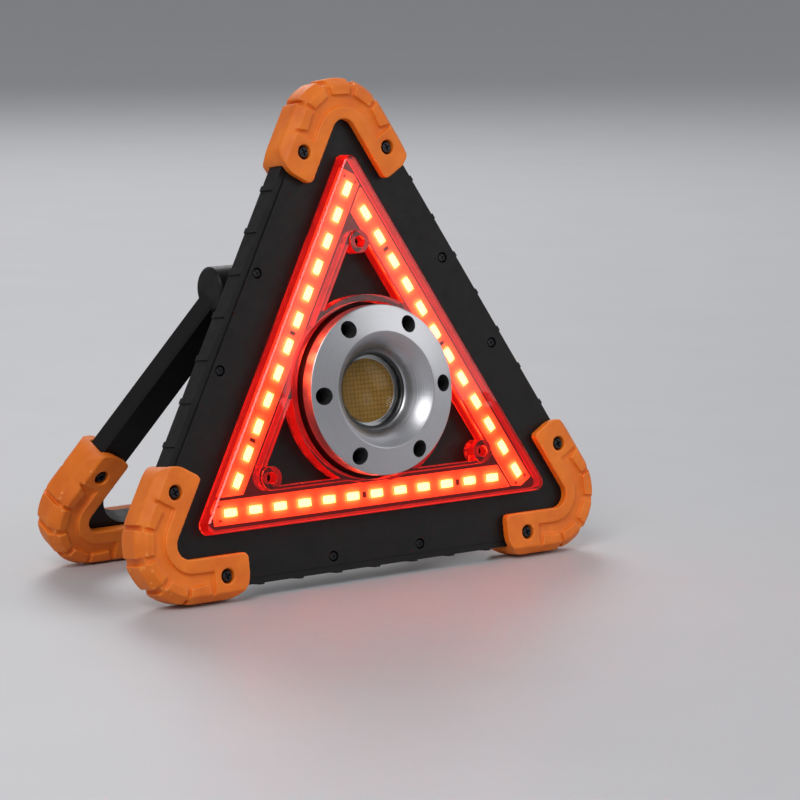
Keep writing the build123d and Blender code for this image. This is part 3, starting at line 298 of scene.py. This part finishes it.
def lit(name, colour, glow, strength):
    """A lit surface: a pale body that also gives light, a little unevenly."""
    material, tree, shader = new_finish(name, Roughness=0.5, Base_Color=(*colour, 1.0),
                                        Emission_Color=(*glow, 1.0))
    cloud = noise(tree, places(tree), 2.5 * MM)
    tree.links.new(spread(tree, cloud, strength * 0.85, strength * 1.15),
                   shader.inputs["Emission Strength"])
    bumped(tree, shader, noise(tree, places(tree), 0.6 * MM), 0.01 * MM)
    return material


def glow_painted_board(edge, turn, chips):
    """A white board with a painted glow everywhere, strongest in a warm halo round each chip, standing in for the
    chips' light.
    """
    pitch = chips[1].x - chips[0].x
    own_frame = PANEL @ Matrix.Rotation(turn, 4, "Z") @ Matrix.Translation(chips[0])
    material, tree, shader = new_finish("white_board_" + edge, Roughness=0.5,
                                        Base_Color=BOARD_WHITE)
    parts = add(tree, "ShaderNodeSeparateXYZ", {"Vector": places(tree, own_frame)}).outputs
    cell = maths(tree, "WRAP", parts["X"], pitch / 2, -pitch / 2)
    near = vector(tree, maths(tree, "MULTIPLY", cell, HALO_STRETCH), parts["Y"])
    distance = add(tree, "ShaderNodeVectorMath", {0: near}, operation="LENGTH").outputs["Value"]
    # painted halo: emission fading with distance from each chip
    painted_halo = spread(tree, distance, 1.0, 0.0, start=HALO_INNER, end=HALO_OUTER)
    soft = maths(tree, "POWER", painted_halo, 2.0)
    glow = blend_colours(tree, soft, *PAINTED_GLOW_TONES)
    tree.links.new(glow, shader.inputs["Emission Color"])
    tree.links.new(spread(tree, soft, PAINTED_BOARD_GLOW, PAINTED_HALO_GLOW, start=0.0, end=1.0),
                   shader.inputs["Emission Strength"])
    bumped(tree, shader, noise(tree, places(tree), 0.6 * MM), 0.01 * MM)
    return material


def clear_optic():
    """Clear moulded lens: it hardly bends what lies close behind it, and its skin is glossy."""
    material, tree, shader = new_finish("clear_optic", Transmission_Weight=1.0, IOR=OPTIC_IOR,
                                        Coat_Weight=0.25, Coat_Roughness=0.03,
                                        Base_Color=OPTIC_TONE)
    tree.links.new(spread(tree, noise(tree, places(tree), 6 * MM), 0.0, 0.05),
                   shader.inputs["Roughness"])
    return material


def phosphor_gel():
    """Yellow phosphor gel with the square grid of dies just showing through."""
    material, tree, shader = new_finish("phosphor", Roughness=0.45, Specular_IOR_Level=0.2)
    where = places(tree, PANEL)
    cells = add(tree, "ShaderNodeTexVoronoi", {"Vector": where, "Scale": 1 / DIE_PITCH,
                                               "Randomness": 0.0},
                distance="CHEBYCHEV", feature="F1").outputs["Distance"]
    grid = spread(tree, cells, 0.0, 1.0, start=0.30, end=0.5)
    mottled = maths(tree, "MULTIPLY_ADD", noise(tree, where, 3 * MM), GEL_MOTTLE,
                    maths(tree, "MULTIPLY", grid, GEL_GRID))
    colour = blend_colours(tree, mottled, *GEL_TONES)
    tree.links.new(colour, shader.inputs["Base Color"])
    bumped(tree, shader, noise(tree, where, 1.0 * MM), 0.02 * MM)
    return material


def circuit_board(name, mask, trace):
    """Solder mask over a net of traces."""
    material, tree, shader = new_finish(name, Roughness=0.35)
    where = places(tree, PANEL)
    net = add(tree, "ShaderNodeTexVoronoi", {"Vector": where, "Scale": 1 / TRACE_PITCH},
              distance="MANHATTAN", feature="F2").outputs["Distance"]
    lines = spread(tree, net, 0.0, 1.0, start=0.62, end=0.68)
    tree.links.new(blend_colours(tree, lines, mask, trace), shader.inputs["Base Color"])
    bumped(tree, shader, lines, 0.03 * MM)
    return material


FINISHES = {
    "black_plastic": moulded("black_plastic", (0.0030, 0.0028, 0.0028), (0.0058, 0.0054, 0.0054),
                             0.47, 0.55 * MM, 0.022 * MM, Specular_IOR_Level=0.26),
    "orange_rubber": orange_rubber(),
    "black_screw": plain_metal("black_screw", (0.03, 0.03, 0.033), 0.36),
    "white_board": moulded("white_board", (0.78, 0.77, 0.73), (0.86, 0.85, 0.81), 0.4, 0.6 * MM,
                           0.01 * MM),
    "light_chip": lit("light_chip", (0.85, 0.83, 0.76), (1.0, 0.74, 0.30), 7.0),
    "component": moulded("component", (0.02, 0.02, 0.02), (0.05, 0.05, 0.05), 0.4, 0.3 * MM,
                         0.01 * MM, 2 * MM),
    "red_lens": red_cover(),
    "aluminium": turned_metal(),
    "dark_ring": moulded("dark_ring", (0.01, 0.01, 0.01), (0.02, 0.02, 0.02), 0.3, 0.4 * MM,
                         0.01 * MM),
    "clear_optic": clear_optic(),
    "phosphor": phosphor_gel(),
    "cell_wrap": moulded("cell_wrap", (0.02, 0.06, 0.20), (0.03, 0.09, 0.27), 0.3, 1.0 * MM,
                         0.01 * MM, Coat_Weight=0.3),
    "steel": plain_metal("steel", (0.50, 0.50, 0.50), 0.28),
    "green_board": circuit_board("green_board", (0.01, 0.10, 0.035), (0.02, 0.17, 0.06)),
    "button_rubber": moulded("button_rubber", (0.60, 0.10, 0.005), (0.72, 0.14, 0.008), 0.5,
                             0.4 * MM, 0.02 * MM, 4 * MM),
    "port_rubber": moulded("port_rubber", (0.012, 0.012, 0.012), (0.022, 0.022, 0.022), 0.58,
                           0.4 * MM, 0.02 * MM, 4 * MM),
    "nylon": moulded("nylon", (0.55, 0.54, 0.50), (0.66, 0.65, 0.61), 0.45, 0.4 * MM, 0.01 * MM),
}
WINDOW_FINISH = lit("phosphor_window", (0.9, 0.85, 0.5), (1.0, 0.95, 0.88), 46.0)
SOLDER_FINISH = plain_metal("solder", (0.55, 0.55, 0.57), 0.25, 0.5 * MM)

WEARS = {
    "black_plastic": ("front_housing", "rear_housing", "rear_pod", "battery_cover", "stand_frame"),
    "orange_rubber": ("bumper_top", "bumper_left", "bumper_right", "stand_bumper_left",
                      "stand_bumper_right"),
    "black_screw": ("pod_screws", "housing_screws", "lens_screws", "lamp_screws", "board_screws",
                    "battery_cover_screws", "bumper_screws", "stand_bumper_screws"),
    "white_board": ("led_strip_bottom", "led_strip_right", "led_strip_left"),
    "light_chip": ("strip_leds_bottom", "strip_leds_right", "strip_leds_left"),
    "component": ("strip_resistors", "board_components", "tact_switch"),
    "red_lens": ("lens_cover",),
    "aluminium": ("lamp_flange", "heat_sink", "cob_board"),
    "dark_ring": ("lens_retainer",),
    "clear_optic": ("optic_lens",),
    "phosphor": ("cob_phosphor",),
    "cell_wrap": ("battery_cells",),
    "steel": ("battery_contacts", "charge_socket", "hinge_pin_left", "hinge_pin_right"),
    "green_board": ("control_board",),
    "button_rubber": ("power_button",),
    "port_rubber": ("port_flap",),
    "nylon": ("hinge_washer_left", "hinge_washer_right"),
}
SLOT_OF = {node: slot for slot, nodes in WEARS.items() for node in nodes}


def paint(piece, finish):
    """Gives a piece one finish."""
    piece.data.materials.clear()
    piece.data.materials.append(finish)


def settle(piece, body, slot, *nodes):
    """Puts a finished piece on its body, in place of its CAD nodes; the slot it is given is not used."""
    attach(piece, body)
    if nodes:
        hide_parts(*nodes)
    return piece


# ---- meshes -------------------------------------------------------------------------------------
def merged(node, flatten=True):
    """A copy of a CAD node's mesh whose loose triangles are joined, and flat ones made one face."""
    shape = bmesh.new()
    shape.from_mesh(NODES[node].data)
    bmesh.ops.remove_doubles(shape, verts=shape.verts, dist=MERGE_DISTANCE)
    if flatten:
        bmesh.ops.dissolve_limit(shape, angle_limit=FLAT_ANGLE, verts=shape.verts,
                                 edges=shape.edges)
    mesh = bpy.data.meshes.new(node + "_shape")
    shape.to_mesh(mesh)
    shape.free()
    return mesh


def baked(name, mesh, *modifiers):
    """A plain object with the given modifiers worked into its mesh."""
    maker = bpy.data.objects.new(name + "_maker", mesh)
    bpy.context.scene.collection.objects.link(maker)
    for kind, settings in modifiers:
        modifier = maker.modifiers.new(kind.lower(), kind)
        for setting, value in settings.items():      # a tree comes before its own sockets
            if setting.startswith("Socket"):
                modifier[setting] = value
            else:
                setattr(modifier, setting, value)
    graph = bpy.context.evaluated_depsgraph_get()
    result = bpy.data.meshes.new_from_object(maker.evaluated_get(graph),
                                             preserve_all_data_layers=True, depsgraph=graph)
    bpy.data.objects.remove(maker)
    result.name = name
    piece = bpy.data.objects.new(name, result)
    bpy.context.scene.collection.objects.link(piece)
    return piece


def smooth(piece, angle=SHARP_ANGLE):
    """Smooth shading that breaks at sharp edges."""
    piece.data.polygons.foreach_set("use_smooth", [True] * len(piece.data.polygons))
    piece.data.set_sharp_from_angle(angle=angle)
    return piece


def edge_broken(node, width, segments=2):
    """A CAD piece with its sharp edges rounded over, as moulding and machining leave them."""
    bevel = ("BEVEL", {"width": width, "segments": segments, "limit_method": "ANGLE",
                       "angle_limit": BEVEL_ANGLE, "use_clamp_overlap": True,
                       "loop_slide": True})
    level = ("WEIGHTED_NORMAL", {"mode": "FACE_AREA", "weight": 50, "keep_sharp": False})
    shape = merged(node)
    shape.polygons.foreach_set("use_smooth", [True] * len(shape.polygons))
    piece = baked(node + "_body", shape, bevel, level)
    paint(piece, FINISHES[SLOT_OF[node]])
    return settle(piece, BODY_OF[node], SLOT_OF[node], node)


def moulded_rubber(node):
    """A bumper with every edge and groove softly rounded."""
    remesh = ("REMESH", {"mode": "VOXEL", "voxel_size": RUBBER_VOXEL})
    ease = ("SMOOTH", {"factor": 0.5, "iterations": RUBBER_SMOOTHING})
    piece = baked(node + "_body", merged(node, flatten=False), remesh, ease)
    piece.data.polygons.foreach_set("use_smooth", [True] * len(piece.data.polygons))
    paint(piece, FINISHES["orange_rubber"])
    return settle(piece, BODY_OF[node], "orange_rubber", node)


def solids(node, own_frame):
    """The boxes of a node's separate solids, lowest and highest corner, in the given frame.

    They come sorted along x, so that each run takes them in the same order.
    """
    shape = bmesh.new()
    shape.from_mesh(NODES[node].data)
    bmesh.ops.remove_doubles(shape, verts=shape.verts, dist=MERGE_DISTANCE)
    back = own_frame.inverted()
    left, boxes = set(shape.verts), []
    while left:
        island, edge = set(), [left.pop()]
        while edge:
            vert = edge.pop()
            island.add((back @ vert.co)[:])
            for link in vert.link_edges:
                other = link.other_vert(vert)
                if other in left:
                    left.remove(other)
                    edge.append(other)
        low = Vector([min(place[axis] for place in island) for axis in range(3)])
        high = Vector([max(place[axis] for place in island) for axis in range(3)])
        boxes.append((low, high))
    shape.free()
    return sorted(boxes, key=lambda box: box[0][:])


def points(name, spots):
    """A mesh that is only points."""
    mesh = bpy.data.meshes.new(name)
    mesh.from_pydata([tuple(spot) for spot in spots], [], [])
    return mesh


# ---- geometry trees -----------------------------------------------------------------------------
def new_tree(name, sizes):
    """An empty tree with a named input for each size, all in metres or radians."""
    tree = bpy.data.node_groups.new(name, "GeometryNodeTree")
    tree.interface.new_socket("Places", in_out="INPUT", socket_type="NodeSocketGeometry")
    for label in ("Turn", *sizes):
        tree.interface.new_socket(label, in_out="INPUT", socket_type="NodeSocketFloat")
    tree.interface.new_socket("Geometry", in_out="OUTPUT", socket_type="NodeSocketGeometry")
    return tree, tree.nodes.new("NodeGroupInput").outputs


def moved(tree, geometry, offset, scale=None):
    """Geometry moved, and scaled first if asked."""
    inputs = {"Geometry": geometry, "Translation": offset}
    if scale is not None:
        inputs["Scale"] = scale
    return add(tree, "GeometryNodeTransform", inputs).outputs["Geometry"]


def joined(tree, *geometries):
    """Several geometries as one."""
    join = add(tree, "GeometryNodeJoinGeometry")
    for geometry in geometries:
        tree.links.new(geometry, join.inputs["Geometry"])
    return join.outputs["Geometry"]


def brick(tree, length, width, height, low=0.0):
    """A block centred on x and y, standing on the given height."""
    cube = add(tree, "GeometryNodeMeshCube", {"Size": vector(tree, length, width, height)})
    middle = maths(tree, "MULTIPLY_ADD", height, 0.5, low)
    return moved(tree, cube.outputs["Mesh"], vector(tree, z=middle))


def cone(tree, low_radius, high_radius, height, low=0.0, sides=28):
    """A round frustum standing on the given height."""
    mesh = add(tree, "GeometryNodeMeshCone", {"Vertices": sides, "Radius Top": high_radius,
                                              "Radius Bottom": low_radius, "Depth": height})
    return moved(tree, mesh.outputs["Mesh"], vector(tree, z=low))


def cut(tree, body, *tools):
    """A body with tools taken out of it."""
    boolean = add(tree, "GeometryNodeMeshBoolean", operation="DIFFERENCE", solver="EXACT")
    tree.links.new(body, boolean.inputs["Mesh 1"])
    for tool in tools:
        tree.links.new(tool, boolean.inputs["Mesh 2"])
    return boolean.outputs["Mesh"]


def close_tree(tree, sizes, piece, finish):
    """Sets the piece on every place, makes the copies real and gives them their finish."""
    turn = add(tree, "FunctionNodeEulerToRotation", {"Euler": vector(tree, z=sizes["Turn"])})
    spots = add(tree, "GeometryNodeMeshToPoints", {"Mesh": sizes["Places"]})
    copies = add(tree, "GeometryNodeInstanceOnPoints", {"Points": spots.outputs["Points"],
                                                        "Instance": piece,
                                                        "Rotation": turn.outputs["Rotation"]})
    real = add(tree, "GeometryNodeRealizeInstances", {"Geometry": copies.outputs["Instances"]})
    painted = add(tree, "GeometryNodeSetMaterial", {"Geometry": real.outputs["Geometry"],
                                                    "Material": finish})
    end = tree.nodes.new("NodeGroupOutput")
    tree.links.new(painted.outputs["Geometry"], end.inputs["Geometry"])
    return tree


def package_tree():
    """A light chip's pale body with the well that its window sits in."""
    tree, sizes = new_tree("light_package", ("Length", "Width", "Height", "Window Length",
                                             "Window Width", "Well Depth"))
    body = brick(tree, sizes["Length"], sizes["Width"], sizes["Height"])
    floor = maths(tree, "SUBTRACT", sizes["Height"], sizes["Well Depth"])
    well = brick(tree, sizes["Window Length"], sizes["Window Width"], sizes["Height"], floor)
    return close_tree(tree, sizes, cut(tree, body, well), FINISHES["light_chip"])


def window_tree():
    """A light chip's glowing window, a rounded pillow of gel."""
    tree, sizes = new_tree("light_window", ("Length", "Width", "Height", "Floor"))
    block = brick(tree, sizes["Length"], sizes["Width"], sizes["Height"], sizes["Floor"])
    fine = add(tree, "GeometryNodeSubdivideMesh", {"Mesh": block, "Level": 1})
    pillow = add(tree, "GeometryNodeSubdivisionSurface", {"Mesh": fine.outputs["Mesh"], "Level": 2})
    return close_tree(tree, sizes, pillow.outputs["Mesh"], WINDOW_FINISH)


def screw_tree():
    """A pan-head screw with a cross recess, its seat at the place's height."""
    tree, sizes = new_tree("cross_screw", ("Head Radius", "Head Height", "Shank Radius",
                                           "Shank Length"))
    radius, height = sizes["Head Radius"], sizes["Head Height"]
    skirt_height = maths(tree, "MULTIPLY", height, SKIRT_SHARE)
    crown_height = maths(tree, "MULTIPLY", height, CROWN_SHARE)
    skirt = cone(tree, radius, radius, skirt_height)
    crown_radius = maths(tree, "MULTIPLY", radius, CROWN_TAPER)
    crown = cone(tree, radius, crown_radius, crown_height, skirt_height)
    slot_length = maths(tree, "MULTIPLY", radius, SLOT_LENGTH)
    slot_width = maths(tree, "MULTIPLY", radius, SLOT_WIDTH)
    floor = maths(tree, "MULTIPLY", height, SLOT_FLOOR)
    arms = [brick(tree, slot_length, slot_width, height, floor),
            brick(tree, slot_width, slot_length, height, floor)]
    shank = moved(tree, cone(tree, sizes["Shank Radius"], sizes["Shank Radius"],
                             sizes["Shank Length"], sides=16),
                  vector(tree, z=maths(tree, "MULTIPLY", sizes["Shank Length"], -1.0)))
    head = joined(tree, cut(tree, crown, *arms), skirt, shank)
    return close_tree(tree, sizes, head, FINISHES["black_screw"])


def solder_tree():
    """A small domed solder joint."""
    tree, sizes = new_tree("solder_joint", ("Length", "Width", "Height"))
    ball = add(tree, "GeometryNodeMeshUVSphere", {"Segments": 14, "Rings": 8, "Radius": 1.0})
    shape = moved(tree, ball.outputs["Mesh"], vector(tree),
                  vector(tree, sizes["Length"], sizes["Width"], sizes["Height"]))
    return close_tree(tree, sizes, shape, SOLDER_FINISH)


def rib_tree():
    """A rounded finger rib, lying along x."""
    tree, sizes = new_tree("finger_rib", ("Length", "Radius"))
    half = maths(tree, "MULTIPLY", sizes["Length"], 0.5)
    line = add(tree, "GeometryNodeCurvePrimitiveLine",
               {"Start": vector(tree, maths(tree, "MULTIPLY", half, -1.0)),
                "End": vector(tree, half)})
    profile = add(tree, "GeometryNodeCurvePrimitiveCircle", {"Resolution": 14,
                                                             "Radius": sizes["Radius"]})
    bar = add(tree, "GeometryNodeCurveToMesh", {"Curve": line.outputs["Curve"],
                                                "Profile Curve": profile.outputs["Curve"],
                                                "Fill Caps": True})
    return close_tree(tree, sizes, bar.outputs["Mesh"], FINISHES["black_plastic"])


def grown(name, tree, spots, own_frame, **sizes):
    """The piece that a tree makes on the given spots of a frame."""
    settings = {"node_group": tree}
    for item in tree.interface.items_tree:
        label = item.name.replace(" ", "_")
        if item.in_out == "INPUT" and label in sizes:
            settings[item.identifier] = float(sizes[label])
    piece = baked(name, points(name + "_places", spots), ("NODES", settings))
    piece.data.transform(own_frame)
    return piece


# ---- the pieces ---------------------------------------------------------------------------------
def dress_nodes():
    """Every CAD node gets the finish of its slot, hidden ones included."""
    for node, slot in SLOT_OF.items():
        paint(NODES[node], FINISHES[slot])


def make_shells():
    """Housings, hatch, stand, bezel, cover and small rubber parts with their edges broken."""
    for node, width in EDGE_WIDTHS.items():
        edge_broken(node, width * MM)
    for node in ("optic_lens", "power_button"):
        piece = smooth(baked(node + "_body", merged(node, flatten=False)))
        paint(piece, FINISHES[SLOT_OF[node]])
        settle(piece, BODY_OF[node], SLOT_OF[node], node)


def make_bumpers():
    """The five rubber corners."""
    for node in WEARS["orange_rubber"]:
        moulded_rubber(node)


def make_lights():
    """On each strip a row of chip bodies and a row of glowing windows."""
    package, window = package_tree(), window_tree()
    for edge, turn in EDGE_TURNS.items():
        node = "strip_leds_" + edge
        own_frame = PANEL @ Matrix.Rotation(turn, 4, "Z")
        boxes = solids(node, own_frame)
        low, high = boxes[0]
        length, width, height = high - low
        spots = [Vector(((a.x + b.x) / 2, (a.y + b.y) / 2, a.z)) for a, b in boxes]
        # the strip's board gets a painted glow round its chips
        paint(NODES["led_strip_" + edge], glow_painted_board(edge, turn, spots))
        body = grown(node + "_body", package, spots, own_frame, Turn=0, Length=length,
                     Width=width, Height=height, Window_Length=WINDOW_SIZE[0] + WELL_CLEARANCE,
                     Window_Width=WINDOW_SIZE[1] + WELL_CLEARANCE, Well_Depth=WELL_DEPTH)
        settle(body, "lamp", "light_chip", node)
        glow = grown(node + "_windows", window, spots, own_frame, Turn=0, Length=WINDOW_SIZE[0],
                     Width=WINDOW_SIZE[1], Height=WINDOW_SIZE[2], Floor=height - WELL_DEPTH)
        settle(smooth(glow, ROUND_ANGLE), "lamp", "light_chip")


def make_solder():
    """Two solder joints at the head of each strip."""
    tree = solder_tree()
    for edge, turn in EDGE_TURNS.items():
        own_frame = PANEL @ Matrix.Rotation(turn, 4, "Z")
        board = solids("led_strip_" + edge, own_frame)[0]
        top, start = board[1].z, board[0].x + SOLDER_INSET
        middle = (board[0].y + board[1].y) / 2
        spots = [(start, middle + side * SOLDER_OFFSET, top) for side in (-1, 1)]
        length, width, height = SOLDER_SIZE
        piece = grown("strip_solder_" + edge, tree, spots, own_frame, Turn=0, Length=length,
                      Width=width, Height=height)
        settle(smooth(piece, ROUND_ANGLE), "lamp", "steel")


def make_screws():
    """The screws that show, each on its CAD screw's own place."""
    tree = screw_tree()
    frames = {"stand_bumper_screws": STAND, "battery_cover_screws": BACK}
    for node, head in HEAD_HEIGHTS.items():
        own_frame = frames.get(node, PANEL)
        boxes = solids(node, own_frame)
        low, high = boxes[0]
        seat = high.z - head
        spots = [((a.x + b.x) / 2, (a.y + b.y) / 2, seat) for a, b in boxes]
        radius = (high.x - low.x) / 2
        piece = grown(node + "_body", tree, spots, own_frame, Turn=SCREW_TURN,
                      Head_Radius=radius, Head_Height=head, Shank_Radius=radius * SHANK_SHARE,
                      Shank_Length=seat - low.z)
        settle(smooth(piece), BODY_OF[node], "black_screw", node)


def make_hatch_ribs():
    """Finger ribs across the cell hatch."""
    low, high = solids("battery_cover", BACK)[0]
    length, radius, pitch = HATCH_RIB
    middle = low.y + (high.y - low.y) * HATCH_RIB_PLACE
    face = solids("rear_pod", BACK)[0][1].z
    spots = [(0.0, middle + (number - (HATCH_RIB_COUNT - 1) / 2) * pitch, face)
             for number in range(HATCH_RIB_COUNT)]
    piece = grown("hatch_ribs", rib_tree(), spots, BACK, Turn=0, Length=length, Radius=radius)
    settle(smooth(piece), "lamp", "black_plastic")


# ---- stage --------------------------------------------------------------------------------------
def make_stage():
    """Pale floor, soft sky and three soft lamps."""
    mesh = bpy.data.meshes.new("floor")
    corners = [(-FLOOR_HALF, -FLOOR_HALF, 0), (FLOOR_HALF, -FLOOR_HALF, 0),
               (FLOOR_HALF, FLOOR_HALF, 0), (-FLOOR_HALF, FLOOR_HALF, 0)]
    mesh.from_pydata(corners, [], [(0, 1, 2, 3)])
    floor = bpy.data.objects.new("floor", mesh)
    bpy.context.scene.collection.objects.link(floor)
    material, tree, shader = new_finish("pale_floor", Roughness=0.55)
    shade = blend_colours(tree, noise(tree, places(tree), FLOOR_MOTTLE), *FLOOR_TONES)
    tree.links.new(shade, shader.inputs["Base Color"])
    paint(floor, material)
    world = bpy.data.worlds.new("soft_sky")
    world.use_nodes = True
    sky = world.node_tree.nodes["Background"]
    sky.inputs["Color"].default_value = SKY_COLOUR
    sky.inputs["Strength"].default_value = SKY_STRENGTH
    bpy.context.scene.world = world
    for name, (place, size, power) in LAMPS.items():
        light = bpy.data.lights.new(name, "AREA")
        light.size = size
        light.energy = power
        lamp = bpy.data.objects.new(name, light)
        lamp.location = place
        lamp.rotation_euler = (CENTRE - Vector(place)).to_track_quat("-Z", "Y").to_euler()
        bpy.context.scene.collection.objects.link(lamp)


def make_camera():
    """Looks at the lamp from the left and a little above."""
    azimuth, elevation = math.radians(VIEW_AZIMUTH), math.radians(VIEW_ELEVATION)
    back = Vector((math.sin(azimuth) * math.cos(elevation),
                   -math.cos(azimuth) * math.cos(elevation), math.sin(elevation)))
    camera = bpy.data.objects.new("camera", bpy.data.cameras.new("camera"))
    camera.data.lens = VIEW_LENS
    camera.data.clip_start = 0.01
    camera.location = CENTRE + FRONT * LAMP_FACE + VIEW_AIM + back * VIEW_DISTANCE
    camera.rotation_euler = (-back).to_track_quat("-Z", "Y").to_euler()
    bpy.context.scene.collection.objects.link(camera)
    bpy.context.scene.camera = camera


make_camera()
make_stage()
dress_nodes()
make_shells()
make_bumpers()
make_lights()
make_solder()
make_screws()
make_hatch_ribs()
bpy.context.scene.view_settings.view_transform = "Standard"
